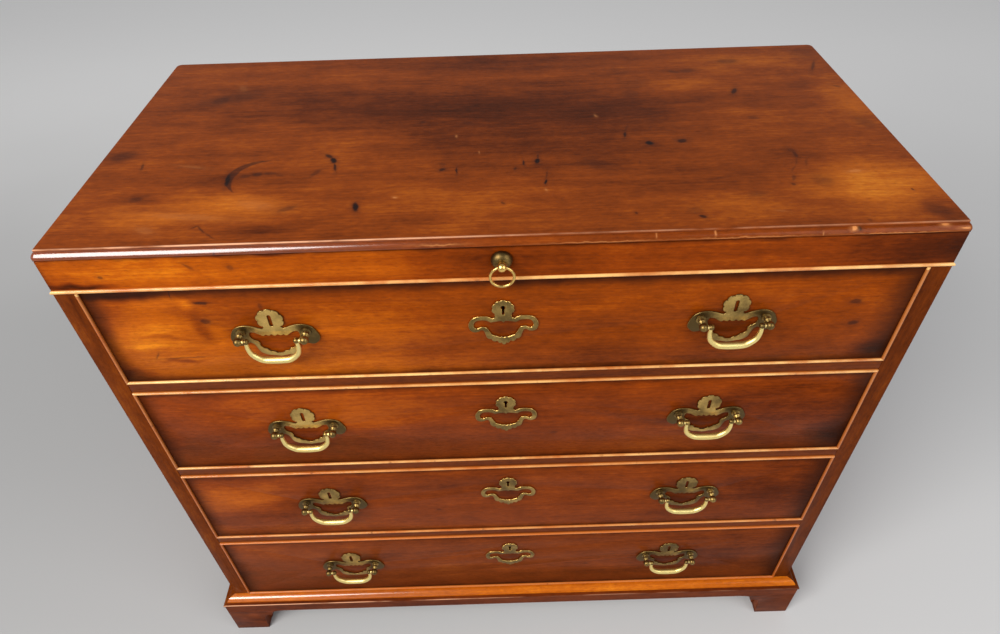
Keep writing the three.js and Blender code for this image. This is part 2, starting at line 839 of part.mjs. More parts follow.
function plateShape() {
  const half = plateWidth / 2;
  const head = palmette(headCentreRise, plateHead - headCentreRise, headLobeShare, headSpread);
  const edge = scaled(plateEdgeShares, half, plateHead, plateDrop);
  const shape = new THREE.Shape(mirroredOutline([...head, ...edge]).reverse());
  shape.holes.push(new THREE.Path(mirroredOutline(scaled(openingShares, half, plateHead, plateDrop))));
  const slot = new THREE.Path();
  const slotHalf = slotWidth / 2;
  const slotLow = slotRise - slotHeight / 2;
  slot.absarc(0, slotLow + slotHalf, slotHalf, Math.PI, 2 * Math.PI);
  slot.absarc(0, slotLow + slotHeight - slotHalf, slotHalf, 0, Math.PI);
  shape.holes.push(slot);
  return shape;
}

// A post: shank through the drawer front, collar on the plate, neck, ring and drilled ball.
function postSolid(inward) {
  const face = seam + plateThickness;
  const ball = postReach;
  const stretch = ball - ballRadius - face;
  const tail = -drawerFrontThickness - shankTail;
  const ballArc = arcPoints([0, ball], ballRadius, -ballNeckTurn, Math.PI / 2, ballSteps).slice(0, -1);
  const body = turning([
    [0, tail],
    [shankRadius, tail],
    [shankRadius, seam],
    [collarRadius, face - plateThickness / 2],
    [collarRadius, face + stretch * collarShare],
    [neckRadius, face + stretch * neckShare],
    [ringRadius, face + stretch * ringShare],
    ...ballArc,
    [0, ball + ballRadius],
  ], postFaces);
  const hole = [ballRadius - pinDepth - pinClearance, ballRadius + overrun];
  const span = inward > 0 ? hole : [-hole[1], -hole[0]];
  const nutFace = drawerFrontThickness + seam;
  const nut = rodY(nutRadius, [nutFace, nutFace + nutThickness], 0, 0, nutFaces);
  const bore = (pinRadius + pinClearance) / Math.cos(Math.PI / bailFaces);
  return cut(join(body, nut), rodX(bore, span, -ball, 0, bailFaces));
}

function plateSolid() {
  return join(
    frontPlate(plateShape(), [-seam - plateThickness, -seam], brassSteps),
    postSolid(1).translate([-postSpacing / 2, 0, 0]),
    postSolid(-1).translate([postSpacing / 2, 0, 0]),
  );
}

// A bail: pins in the posts, a round knop at each elbow, arms and a swelled grip.
function bailSolid() {
  const ballFace = postSpacing / 2 - ballRadius;
  const half = [
    [ballFace - bailFreePlay, 0],
    ...bailPathShares.map(([across, down]) => [bailShoulder * across, -bailDrop * down]),
  ];
  const points = [...half.map(([across, up]) => [-across, up]), ...half.reverse()];
  const path = new THREE.CatmullRomCurve3(points.map(([across, up]) => new THREE.Vector3(across, 0, up)));
  const swell = bailMiddleRadius - bailEndRadius;
  const pinRing = (across) => ({
    middle: new THREE.Vector3(across, 0, 0),
    along: new THREE.Vector3(1, 0, 0),
    radius: pinRadius,
  });
  const rings = [pinRing(-ballFace - pinDepth), pinRing(bailFreePlay - ballFace)];
  for (let step = 0; step <= bailSteps; step += 1) {
    const share = step / bailSteps;
    rings.push({
      middle: path.getPointAt(share),
      along: path.getTangentAt(share),
      radius: bailEndRadius + swell * Math.sin(Math.PI * share) ** swellPower,
    });
  }
  rings.push(pinRing(ballFace - bailFreePlay), pinRing(ballFace + pinDepth));
  const elbow = ballFace - bailFreePlay - bailKnopRadius;
  const knop = toSolid(new THREE.SphereGeometry(bailKnopRadius, knopFaces, knopSteps));
  return join(
    rodThrough(rings, bailFaces),
    knop.translate([-elbow, 0, 0]),
    knop.translate([elbow, 0, 0]),
  ).translate([0, -postReach, 0]);
}

// Escutcheons and locks

// Right half of the escutcheon's edge below its head, and of its opening.
const escutcheonEdgeShares = [
  [0.24, -0.12], [0.245, -0.2], [0.32, -0.23], [0.45, -0.17], [0.68, -0.165], [0.85, -0.2], [0.96, -0.3],
  [1, -0.42], [0.96, -0.55], [0.85, -0.61], [0.73, -0.6], [0.655, -0.555], [0.58, -0.57], [0.53, -0.67],
  [0.5, -0.765], [0.43, -0.82], [0.36, -0.825], [0.33, -0.875], [0.26, -0.905], [0.19, -0.88], [0.16, -0.935],
  [0.1, -0.955], [0.075, -0.935], [0.045, -0.985], [0, -1],
];
const escutcheonOpeningShares = [
  [0, -0.35], [0.04, -0.31], [0.12, -0.305], [0.24, -0.32], [0.36, -0.34], [0.5, -0.28], [0.68, -0.272],
  [0.8, -0.31], [0.85, -0.41], [0.82, -0.49], [0.74, -0.505], [0.64, -0.46], [0.49, -0.485], [0.41, -0.59],
  [0.33, -0.7], [0.22, -0.735], [0.12, -0.775], [0.06, -0.77], [0, -0.785],
];

function escutcheonSolid() {
  const half = escutcheonWidth / 2;
  const centre = escutcheonHead - escutcheonHeadRadius;
  const head = palmette(centre, escutcheonHeadRadius, headLobeShare, headSpread * escutcheonSpreadShare);
  const edge = scaled(escutcheonEdgeShares, half, escutcheonHead, escutcheonDrop);
  const opening = scaled(escutcheonOpeningShares, half, escutcheonHead, escutcheonDrop);
  const shape = new THREE.Shape(mirroredOutline([...head, ...edge]).reverse());
  shape.holes.push(new THREE.Path(mirroredOutline(opening)));
  const keyhole = keyholeCutter([-seam - plateThickness - overrun, overrun], 0);
  return cut(
    frontPlate(shape, [-seam - plateThickness, -seam]),
    keyhole.translate([0, 0, escutcheonDepth - keyholeDepth]),
  );
}

// The lock is let into the back of the front, with its bolt in a channel that the key reaches.
function lockSolid(drawer) {
  const back = drawerFrontThickness;
  const front = back - lockThickness;
  const low = drawer.high - lockHeight;
  const [boltFront, boltBack] = boltSpan();
  const half = boltWidth / 2 + boltPlay;
  const channel = [boltFront - boltPlay, boltBack + boltPlay];
  const key = drawer.high - keyholeDepth;
  return join(
    cut(
      join(
        block([-lockWidth / 2, lockWidth / 2], [front, back], [low, drawer.high - lockPlateThickness / 2]),
        block(
          [-lockPlateWidth / 2, lockPlateWidth / 2],
          [back - lockPlateDepth, back],
          [drawer.high - lockPlateThickness, drawer.high],
        ),
      ),
      block([-half, half], channel, [low + lockWall, drawer.high + overrun]),
      keyholeCutter([front - overrun, channel[1]], seam).translate([0, 0, key]),
    ),
    rodY(keyPinRadius, [front, channel[1] + lockWall / 2], 0, key, holeFaces),
  );
}

function boltSolid(drawer) {
  return block([-boltWidth / 2, boltWidth / 2], boltSpan(), [drawer.high - boltHeight, drawer.high]);
}

const plate = plateSolid();
const bail = bailSolid();
const escutcheon = escutcheonSolid();

drawers.forEach((drawer, index) => {
  const name = `drawer_${index + 1}`;
  const beadOnTop = index > 0;
  place(`${name}_front`, drawerFrontSolid(drawer, beadOnTop), mahogany);
  place(`${name}_cockbead`, cockbeadSolid(drawer, beadOnTop), beadWood);
  place(`${name}_box`, drawerBoxSolid(drawer), oak);
  for (const [side, across] of [['left', -handleOffset], ['right', handleOffset]]) {
    const spot = [across, 0, drawer.centre + handleRise];
    place(`${name}_${side}_plate`, plate.translate(spot), brass);
    place(`${name}_${side}_bail`, bail.translate(spot), brass);
  }
  place(`${name}_escutcheon`, escutcheon.translate([0, 0, drawer.high - escutcheonDepth]), brass);
  place(`${name}_lock`, lockSolid(drawer), steel);
  place(`${name}_lock_bolt`, boltSolid(drawer), steel);
});

// The case's front plane is moved forward so that the origin is in the middle of the outline.
const frontReach = Math.max(postReach + ballRadius, baseMouldReach, eyeReach + eyeRadius);
chest.position.set(0, (frontReach - caseDepth) / 2, 0);
chest.updateMatrixWorld(true);

export default chest;
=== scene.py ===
"""Bachelors chest in polished mahogany: its looks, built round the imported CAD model.

Metres, +Z up; the tables of places and marks are in millimetres. The drawer fronts face -Y
and the chest stands on the floor at Z 0.
"""

import json
import math

import bmesh
import bpy
from bpy.props import FloatProperty, FloatVectorProperty, IntProperty, PointerProperty
from mathutils import Matrix, Vector, noise

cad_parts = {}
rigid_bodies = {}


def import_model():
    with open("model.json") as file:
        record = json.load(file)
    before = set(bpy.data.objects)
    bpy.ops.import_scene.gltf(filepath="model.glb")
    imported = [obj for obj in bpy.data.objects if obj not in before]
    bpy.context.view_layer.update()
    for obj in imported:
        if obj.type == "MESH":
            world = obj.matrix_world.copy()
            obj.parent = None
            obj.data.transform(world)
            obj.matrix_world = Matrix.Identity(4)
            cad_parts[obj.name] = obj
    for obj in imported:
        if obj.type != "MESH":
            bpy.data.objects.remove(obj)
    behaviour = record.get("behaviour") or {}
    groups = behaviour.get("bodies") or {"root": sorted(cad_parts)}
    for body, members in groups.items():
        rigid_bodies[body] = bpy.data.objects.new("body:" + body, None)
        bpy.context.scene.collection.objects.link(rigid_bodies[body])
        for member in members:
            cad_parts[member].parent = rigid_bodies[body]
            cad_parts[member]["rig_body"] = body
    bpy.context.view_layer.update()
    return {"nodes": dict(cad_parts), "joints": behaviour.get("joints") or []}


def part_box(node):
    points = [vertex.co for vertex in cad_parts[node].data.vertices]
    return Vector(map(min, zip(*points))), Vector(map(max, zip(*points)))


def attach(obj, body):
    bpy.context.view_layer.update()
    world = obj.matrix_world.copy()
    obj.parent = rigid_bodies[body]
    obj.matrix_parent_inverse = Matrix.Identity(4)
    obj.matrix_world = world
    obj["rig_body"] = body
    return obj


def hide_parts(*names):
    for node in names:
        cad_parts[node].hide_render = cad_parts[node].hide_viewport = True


bl_info = {
    "name": "Bachelors chest",
    "version": (1, 0, 0),
    "blender": (4, 5, 0),
    "location": "View3D > Sidebar > Chest",
    "description": "Mahogany chest of drawers with brass handles, on its packed CAD frame",
    "category": "Object",
}

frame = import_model()

MM = 0.001
DRAWERS = (1, 2, 3, 4)
SIDES = ("left", "right")
AXES = {"X": (0, 1, 2), "Y": (1, 0, 2), "Z": (2, 1, 0)}


def linear(red, green, blue):
    """A colour given in 8-bit sRGB, as Blender's linear values."""
    def channel(value):
        share = value / 255
        return share / 12.92 if share <= 0.04045 else ((share + 0.055) / 1.055) ** 2.4
    return (channel(red), channel(green), channel(blue), 1.0)


def mm(*points):
    """Points given in millimetres."""
    return [tuple(part * MM for part in point) for point in points]


def body_of(node):
    return frame["nodes"][node]["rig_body"]


# Colours that wear and dirt leave on the wood, with painted shade in its margins and a painted
# highlight on its arrises and moulding, those of the beads, and of the varnish's gloss
DIRT_AND_SHADE = linear(34, 14, 8)
STAIN = linear(38, 22, 20)
SCUFF_AND_GLINT = linear(214, 140, 80)
ARRIS_WEAR_AND_HIGHLIGHT = linear(240, 180, 140)
BEAD_ORANGE = linear(198, 102, 38)
BEAD_BROWN = linear(174, 88, 28)
BEAD_LINES = linear(110, 56, 22)
BEAD_WORN = linear(70, 34, 16)
VARNISH_TINT = (1.0, 0.76, 0.46, 1.0)
BEAD_TINT = (1.0, 0.8, 0.5, 1.0)

# Levels and places that the pieces share
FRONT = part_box("drawer_2_front")[0].y
CASE_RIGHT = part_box("case_side_right")[1].x
PIVOTS = {joint["name"]: Vector(joint["pos_m"]) for joint in frame["joints"] if "pos_m" in joint}
HANDLES = {
    (number, side): PIVOTS[f"drawer_{number}_{side}_bail_swing"]
    for number in DRAWERS for side in SIDES
}


# Node trees


def sum_of(operation, swapped=False):
    """An operator of Socket: it adds a Math node, with its values swapped for a reflected form."""
    def method(*values):
        return values[0].graph.math(operation, *(reversed(values) if swapped else values))
    return method


class Socket:
    """An output that takes part in sums: each sum adds its Math node."""

    def __init__(self, graph, out):
        self.graph = graph
        self.out = out

    __add__ = __radd__ = sum_of("ADD")
    __sub__ = sum_of("SUBTRACT")
    __rsub__ = sum_of("SUBTRACT", swapped=True)
    __mul__ = __rmul__ = sum_of("MULTIPLY")
    __pow__ = sum_of("POWER")
    __gt__ = sum_of("GREATER_THAN")
    __abs__ = sum_of("ABSOLUTE")


def each_axis(scale):
    """A number serves all three axes, a pair holds its value along the grain and across it."""
    return (*scale, scale[-1])[:3] if isinstance(scale, tuple) else (scale,) * 3


class Graph:
    """Builds a node tree of a material or of Geometry Nodes."""

    def __init__(self, tree):
        self.tree = tree
        tree.nodes.clear()

    def add(self, kind, settings=None, sockets=None):
        """Adds a node: its settings first, then the values or links of its sockets."""
        node = self.tree.nodes.new(kind)
        for name, value in (settings or {}).items():
            if name == "stops":
                self.set_stops(node.color_ramp, value)
            else:
                setattr(node, name, value)
        for key, value in (sockets or {}).items():
            target = self.find(node.inputs, key)
            if isinstance(value, Socket):
                self.tree.links.new(value.out, target)
            else:
                target.default_value = value
        return lambda key=0: Socket(self, self.find(node.outputs, key))

    @staticmethod
    def find(sockets, key):
        if isinstance(key, int):
            return sockets[key]
        return next(s for s in sockets if key in (s.identifier, s.name) and s.enabled)

    @staticmethod
    def set_stops(ramp, stops):
        while len(ramp.elements) < len(stops):
            ramp.elements.new(1.0)
        for element, (position, colour) in zip(ramp.elements, stops):
            element.position = position
            element.color = colour

    def math(self, operation, *values):
        return self.add("ShaderNodeMath", {"operation": operation}, dict(enumerate(values)))()

    def vector(self, operation, *values, key=0):
        settings = {"operation": operation}
        return self.add("ShaderNodeVectorMath", settings, dict(enumerate(values)))(key)

    def least(self, values):
        found, *others = values
        for value in others:
            found = self.math("MINIMUM", found, value)
        return found

    def rise(self, value, low, high):
        """0 below low and 1 above high, with a smooth rise between; low may be the higher one."""
        sockets = {"Value": value, "From Min": low, "From Max": high}
        return self.add("ShaderNodeMapRange", {"interpolation_type": "SMOOTHSTEP"}, sockets)()

    def noise(self, place, scale, detail=3.0, seed=0.0, rough=0.55, key=0):
        """Noise from 0 to 1. The scale is in waves a metre, for all axes or as each_axis has it."""
        mapped = self.vector("MULTIPLY", place, each_axis(scale))
        return self.add(
            "ShaderNodeTexNoise",
            {"noise_dimensions": "4D"},
            {"Vector": mapped, "W": seed, "Scale": 1.0, "Detail": detail, "Roughness": rough},
        )(key)

    def shifted(self, place, scale, amount, seed):
        """The place, pushed about by slow noise."""
        push = self.noise(place, scale, 2.0, seed, key=1)
        push = self.vector("SUBTRACT", push, each_axis(0.5))
        return self.vector("ADD", place, self.vector("MULTIPLY", push, each_axis(amount)))

    def mix(self, factor, first, second, kind="Color"):
        """Between two colours, or between two vectors if the kind is Vector."""
        return self.add(
            "ShaderNodeMix",
            {"data_type": "RGBA" if kind == "Color" else "VECTOR"},
            {"Factor_Float": factor, f"A_{kind}": first, f"B_{kind}": second},
        )(f"Result_{kind}")

    def depth_in(self, place, centre, radii, turn=(0, 0, 0)):
        """0 at the centre of an ellipsoid and 1 at its surface."""
        local = self.add(
            "ShaderNodeMapping",
            {"vector_type": "TEXTURE"},
            {"Vector": place, "Location": centre, "Rotation": turn, "Scale": radii},
        )()
        return self.vector("LENGTH", local, key="Value")

    def marks(self, place, rows):
        """The deepest of several marks: each has a dense core and a faint halo round it."""
        deepest = 0.0
        for depth in sorted({row[-1] for row in rows}):
            near = self.least(self.depth_in(place, *row[:-1]) for row in rows if row[-1] == depth)
            core, halo = self.rise(near, 1.15, 0.45), self.rise(near, 2.5, 0.7)
            shade = core * (depth * 0.72) + halo * (depth * 0.28)
            deepest = self.math("MAXIMUM", deepest, shade)
        return deepest


def new_material(name):
    """A material with its tree and its Object coordinates."""
    material = bpy.data.materials.new(name)
    material.use_nodes = True
    graph = Graph(material.node_tree)
    return material, graph, graph.add("ShaderNodeTexCoord")("Object")


def close_material(graph, sockets, height=None, depth=0.0):
    """Adds the surface shader; a height feeds a bump of the given depth in metres."""
    if height is not None:
        bump = graph.add("ShaderNodeBump", None, {"Height": height, "Distance": depth})
        sockets["Normal"] = bump()
    surface = graph.add("ShaderNodeBsdfPrincipled", None, sockets)()
    graph.add("ShaderNodeOutputMaterial", None, {"Surface": surface})


def axes_of(graph, place):
    split = graph.add("ShaderNodeSeparateXYZ", None, {0: place})
    return split(0), split(1), split(2)


def grain_place(graph, place, grain):
    """The place with its grain along X. A grain of two axes and a mask turns at the mask's 1."""
    parts = axes_of(graph, place)

    def along(axis):
        sockets = dict(enumerate(parts[part] for part in AXES[axis]))
        return graph.add("ShaderNodeCombineXYZ", None, sockets)()

    if isinstance(grain, str):
        return along(grain)
    first, second, mask = grain
    return graph.mix(mask(parts), along(first), along(second), "Vector")


# Weights of the finest patterns in the wood, and of its open pores
LINES, FLECKS, PORES = 0.3, 0.32, 0.3


def wood(
    name, palette, grain, seed, tone, figure, streaks=0.3, patches=(), stains=(), scuffs=(),
    crescents=(), box=None, margin=(0.02, 0.02, 0.01, 0.01), soil=0.6, arris=None, roughness=0.3,
    gloss=0.07, coat=0.04, coat_roughness=0.16, coat_ior=1.5, mottling=0.34,
):
    """Polished or plain wood. The palette runs from dark to light; patches lighten or darken it, on
    the fronts as painted light and shade, stains and crescents blacken it, scuffs pale it, some as
    painted highlights, an arris along X is painted pale with wear and a painted highlight, and dirt
    with painted shade darkens the margins at the left, right, foot and head of the box. A coat of
    two weights runs from the left to the right."""
    material, graph, place = new_material(name)
    lengthwise = grain_place(graph, place, grain)
    wavy = graph.shifted(lengthwise, (2.2, 7.0), (0.0, 0.02), seed)
    slow = graph.noise(wavy, (2.6, 9.0), 3.0, seed + 1)
    bands = graph.noise(wavy, (1.6, 70.0), 4.0, seed + 2, 0.6)
    lines = graph.noise(wavy, (7.0, 420.0), 3.0, seed + 3, 0.7)
    ripple = graph.noise(wavy, (34.0, 9.0), 2.0, seed + 4)
    pore = graph.rise(graph.noise(lengthwise, (130.0, 1500.0), 2.0, seed + 5), 0.57, 0.7)
    mottle = graph.noise(wavy, (14.0, 42.0), 5.0, seed + 10, 0.65)
    fleck = graph.noise(lengthwise, (95.0, 270.0), 3.0, seed + 11, 0.6)
    value = tone
    for pattern, weight in (
        (slow, figure), (bands, streaks), (lines, LINES), (ripple, figure * 0.25),
        (mottle, mottling), (fleck, FLECKS),
    ):
        value = value + (pattern - 0.5) * weight
    ragged = graph.shifted(place, 16.0, 0.03, seed + 6)
    for centre, radii, depth in patches:
        value = value + graph.rise(graph.depth_in(ragged, centre, radii), 1.0, 0.0) * depth
    stops = [(index / (len(palette) - 1), colour) for index, colour in enumerate(palette)]
    colour = graph.add("ShaderNodeValToRGB", {"stops": stops}, {0: value})()
    colour = graph.mix(pore * PORES, colour, palette[0])
    handled = graph.noise(place, 5.0, 4.0, seed + 9)
    rough = roughness + (handled - 0.5) * 0.16 + pore * 0.1
    # The margins of the box are painted darker: dirt, and painted shade in the corners and under
    # overhangs
    if box:
        low, high = box
        x, y, z = axes_of(graph, graph.shifted(place, 30.0, 0.012, seed + 7))
        left, right, foot, head = margin
        wide = high.x - low.x > high.y - low.y
        across, start, end = (x, low.x, high.x) if wide else (y, low.y, high.y)
        clear = graph.rise(across, start, start + left) * graph.rise(across, end, end - right)
        clear = clear * graph.rise(z, low.z, low.z + foot) * graph.rise(z, high.z, high.z - head)
        grime_and_shade = (1 - clear) * soil
        colour = graph.mix(grime_and_shade, colour, DIRT_AND_SHADE)
        rough = rough + grime_and_shade * 0.12
    frayed = graph.shifted(place, 120.0, 0.004, seed + 8)
    if stains:
        colour = graph.mix(graph.marks(frayed, stains), colour, STAIN)
    for outer, inner, depth in crescents:
        within, beyond = (graph.depth_in(frayed, *circle) for circle in (outer, inner))
        shade = graph.rise(within, 1.01, 0.96) * graph.rise(beyond, 0.96, 1.01) * depth
        colour = graph.mix(shade, colour, STAIN)
    # Scuffs are painted pale; along the top's moulding the long thin ones are painted highlights
    if scuffs:
        colour = graph.mix(graph.marks(frayed, scuffs), colour, SCUFF_AND_GLINT)
    # The arris is painted pale: wear, and a painted highlight that is strongest to the left, where
    # the light falls
    if arris:
        front, level, reach = arris
        crosswise = graph.vector("MULTIPLY", place, (0, 1, 1))
        away = graph.vector("DISTANCE", crosswise, (0, front, level), key="Value")
        rubbed_and_lit = graph.rise(graph.noise(place, (14.0, 60.0), 4.0, seed + 12), 0.34, 0.6)
        rubbed_and_lit = rubbed_and_lit * (0.3 + graph.rise(axes_of(graph, place)[0], 0.1, -0.2) * 0.7)
        colour = graph.mix(graph.rise(away, reach, reach * 0.45) * rubbed_and_lit, colour, ARRIS_WEAR_AND_HIGHLIGHT)
    if isinstance(coat, tuple):
        leftward = graph.rise(axes_of(graph, place)[0], 0.02, -0.24)
        coat = coat[1] + leftward * (coat[0] - coat[1])
    close_material(
        graph,
        {
            "Base Color": colour, "Roughness": rough, "Coat Weight": coat, "Coat IOR": coat_ior,
            "Coat Roughness": coat_roughness, "Specular IOR Level": gloss,
            "Specular Tint": VARNISH_TINT,
        },
        handled * 0.6 + bands * 0.25 - pore * 0.3, 0.35 * MM,
    )
    return material


def metal(name, dark, light, seed, rubbed_and_lit, roughness=(0.42, 0.24), reach=None, middle=None):
    """Cast metal: patina lies in the low places, and fades where hands and cloths rub it. Away
    from the middle it is painted darker: patina and a painted dark reflection."""
    material, graph, place = new_material(name)
    broad = graph.noise(place, 55.0, 4.0, seed, 0.6)
    fine = graph.noise(place, 700.0, 3.0, seed + 1, 0.6)
    worn = rubbed_and_lit + (broad - 0.5) * 0.9 + (fine - 0.5) * 0.3
    x, y, _ = axes_of(graph, place)
    if reach:
        worn = worn + graph.rise(y, *reach) * 0.8
    # Away from the middle the brass is painted darker: patina and a painted dark reflection
    if middle is not None:
        worn = worn - graph.rise(abs(x - middle), 0.014, 0.036) * 0.45
    worn = graph.rise(worn, 0.1, 0.95)
    rough = roughness[0] + worn * (roughness[1] - roughness[0])
    colour = graph.mix(worn, dark, light)
    sockets = {"Base Color": colour, "Roughness": rough, "Metallic": 1.0}
    close_material(graph, sockets, broad * 0.7 + fine * 0.3, 0.12 * MM)
    return material


def bead_look(name, seed, upright, highlight_fade):
    """Bead wood with a painted highlight: pale on its crown, browner beneath and on the legs where
    the mask is 1, the highlight fading by the given share; its grain runs along the bead.
    """
    material, graph, place = new_material(name)
    parts = axes_of(graph, place)
    lines = graph.noise(place, (30.0, 500.0), 3.0, seed)
    slow = graph.noise(place, 14.0, 4.0, seed + 1, 0.65)
    worn = graph.noise(place, 90.0, 3.0, seed + 2)
    dim = dimmed(BEAD_ORANGE, 0.9)
    pale = graph.mix(graph.rise(slow, 0.3, 0.66), dim, colours_of("bead")[0])
    pale = graph.mix(highlight_fade, pale, BEAD_ORANGE)
    # Painted highlight: the crown and the upper side are painted pale, the underside and the
    # uprights browner
    crown = graph.rise(parts[1], FRONT, FRONT - 1.1 * MM)
    normal = axes_of(graph, graph.add("ShaderNodeNewGeometry")("Normal"))
    crown = crown * graph.rise(normal[2], -0.85, -0.1)
    colour = graph.mix(crown * (1 - upright(parts) * 0.82), BEAD_BROWN, pale)
    colour = graph.mix(graph.rise(lines, 0.55, 0.8) * 0.4, colour, BEAD_LINES)
    colour = graph.mix(graph.rise(worn, 0.62, 0.72) * 0.5, colour, BEAD_WORN)
    close_material(
        graph,
        {
            "Base Color": colour, "Roughness": 0.34 + (slow - 0.5) * 0.2, "Coat Weight": 0.6,
            "Coat Roughness": 0.16, "Specular IOR Level": 0.2, "Specular Tint": BEAD_TINT,
        },
        slow * 0.5 + lines * 0.2, 0.2 * MM,
    )
    return material


# Masks that turn the grain: each is 1 on the legs that run the other way


def turned_leg(parts):
    """The side legs of a moulding round the case, parted from the front at the mitre."""
    x, y, _ = parts
    return (abs(x) - CASE_RIGHT) > (FRONT - y)


def mitred_at(low, high):
    """The uprights of a rectangular bead."""
    middle, half = (low.z + high.z) / 2, (high.z - low.z) / 2
    return lambda parts: (abs(parts[0]) - high.x) > (abs(parts[2] - middle) - half)


def side_walls(parts):
    """The side walls of a drawer box."""
    return abs(parts[0]) > (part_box("drawer_1_box")[1].x - 10.5 * MM)


# Meshes


def shaded(mesh, angle):
    mesh.shade_smooth()
    mesh.set_sharp_from_angle(angle=math.radians(angle))
    return mesh


def mesh_of(bm, name):
    """The finished mesh of a bmesh."""
    mesh = bpy.data.meshes.new(name)
    bm.to_mesh(mesh)
    bm.free()
    return mesh


def settled(bm, name, doubles=1e-6):
    """The mesh of a bmesh, its doubles merged and its faces turned outwards."""
    bmesh.ops.remove_doubles(bm, verts=bm.verts, dist=doubles)
    bmesh.ops.recalc_face_normals(bm, faces=bm.faces)
    return mesh_of(bm, name)


def placed(name, data):
    """An object of the scene, at the origin."""
    obj = bpy.data.objects.new(name, data)
    bpy.context.scene.collection.objects.link(obj)
    return obj


def plain_mesh(obj):
    """The mesh that an object's modifiers leave; the object itself goes."""
    graph = bpy.context.evaluated_depsgraph_get()
    mesh = bpy.data.meshes.new_from_object(obj.evaluated_get(graph))
    bpy.data.objects.remove(obj)
    return mesh


def show(name, mesh, body, materials, replaced=()):
    """Puts a mesh in the scene as a piece that rides on a body."""
    places = [face.material_index for face in mesh.polygons]
    mesh.materials.clear()
    for material in materials:
        mesh.materials.append(material)
    last = len(materials) - 1
    mesh.polygons.foreach_set("material_index", [min(place, last) for place in places])
    obj = placed(name, mesh)
    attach(obj, body)
    if replaced:
        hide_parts(*replaced)
    return obj


def ease_arrises(obj, width, segments=2):
    bevel = obj.modifiers.new("Eased arrises", "BEVEL")
    bevel.width = width
    bevel.segments = segments
    bevel.limit_method = "ANGLE"
    bevel.angle_limit = math.radians(30)
    return bevel


# Where the top's front edge comes forward: its depth, and the place past which the ends draw in
EDGE_DEPTH = 8 * MM
TOP_END = 449 * MM
TOP_DRAW_IN = 1.6 * MM


def eased(node, name, look, width, segments=2, back_limit=None, cuts=(), forward=0.0):
    """A CAD solid with its arrises softened, in place of the node. With cuts across X, each part
    between them has a look of its own. A front edge that comes forward draws in the ends."""
    bm = bmesh.new()
    bm.from_mesh(frame["nodes"][node].data)
    bmesh.ops.remove_doubles(bm, verts=bm.verts, dist=1e-6)
    bmesh.ops.dissolve_limit(
        bm, angle_limit=math.radians(0.4), use_dissolve_boundaries=False, verts=bm.verts,
        edges=bm.edges,
    )
    front = min(vert.co.y for vert in bm.verts)
    for vert in bm.verts:
        if back_limit is not None:
            vert.co.y = min(vert.co.y, back_limit)
        if vert.co.y < front + EDGE_DEPTH:
            vert.co.y -= forward
        if forward and abs(vert.co.x) > TOP_END:
            vert.co.x -= math.copysign(TOP_DRAW_IN, vert.co.x)
    for cut in cuts:
        bmesh.ops.bisect_plane(
            bm, geom=[*bm.verts, *bm.edges, *bm.faces], plane_co=(cut, 0, 0), plane_no=(1, 0, 0)
        )
    for face in bm.faces:
        face.smooth = True
        face.material_index = sum(face.calc_center_median().x > cut for cut in cuts)
    looks = look if cuts else [look]
    obj = show(name, mesh_of(bm, name), body_of(node), looks, [node])
    ease_arrises(obj, width, segments).harden_normals = not cuts
    if cuts:
        obj.modifiers.new("Level faces", "WEIGHTED_NORMAL").weight = 90


def arc(centre, radius, start, end, steps):
    """Points of an arc in the plane of a profile, angles in degrees."""
    turns = [math.radians(start + (end - start) * step / steps) for step in range(steps + 1)]
    return [
        (centre[0] + radius * math.cos(turn), centre[1] + radius * math.sin(turn))
        for turn in turns
    ]


def bridge(bm, rings, closed=False):
    """Faces between neighbouring rings of vertices; a ring of one vertex is a tip."""
    for first, second in zip(rings, rings[1:] + rings[:1] if closed else rings[1:]):
        size = max(len(first), len(second))
        for step in range(size):
            beside = (step + 1) % size
            corners = [
                first[step % len(first)], second[step % len(second)],
                second[beside % len(second)], first[beside % len(first)],
            ]
            bm.faces.new(list(dict.fromkeys(corners)))


def moulded(name, path, profile, up=(0, 0, 1), closed=False, wobble=0.0, seed=0.0):
    """A run of moulding, mitred at the path's corners. The profile holds (out, up) points;
    out is to the right of the path. The wobble draws it in a little, as hand planing does."""
    up = Vector(up)
    spacing = 12 * MM
    count = len(path)
    legs = count if closed else count - 1

    def right(start, end):
        return (end - start).normalized().cross(up)

    rings = []
    for leg in range(legs):
        start, end = path[leg], path[(leg + 1) % count]
        here = right(start, end)
        before = right(path[leg - 1], start) if closed or leg else here
        after = right(end, path[(leg + 2) % count]) if closed or leg < legs - 1 else here
        first, last = ((here + other) / (1 + here.dot(other)) for other in (before, after))
        steps = max(1, round((end - start).length / spacing))
        for step in range(steps + (not closed and leg == legs - 1)):
            ring = [
                (start + first * out).lerp(end + last * out, step / steps) + up * rise
                for out, rise in profile
            ]
            if 0 < step < steps:
                shift = wobble * (noise.noise(ring[0] * 9 + Vector((seed, 0, 0))) - 1)
                ring = [point + here * shift for point in ring]
            rings.append(ring)
    bm = bmesh.new()
    rings = [[bm.verts.new(point) for point in ring] for ring in rings]
    bridge(bm, rings, closed)
    if not closed:
        bm.faces.new(rings[0])
        bm.faces.new(rings[-1][::-1])
    return shaded(settled(bm, name, 1e-7), 28)


def turned(name, profile, place, faces=40):
    """A turning about an axis along Y. The profile holds (radius, reach); reach runs forward."""
    bm = bmesh.new()
    round_once = arc((0, 0), 1, 0, 360, faces)[:-1]
    bridge(bm, [
        [
            bm.verts.new((radius * across, -reach, radius * up))
            for across, up in (round_once if radius else [(0, 0)])
        ]
        for radius, reach in profile
    ])
    bmesh.ops.translate(bm, verts=bm.verts, vec=place)
    return shaded(settled(bm, name), 38)


def joined(name, meshes):
    """Several meshes as one."""
    bm = bmesh.new()
    for mesh in meshes:
        bm.from_mesh(mesh)
    return mesh_of(bm, name)


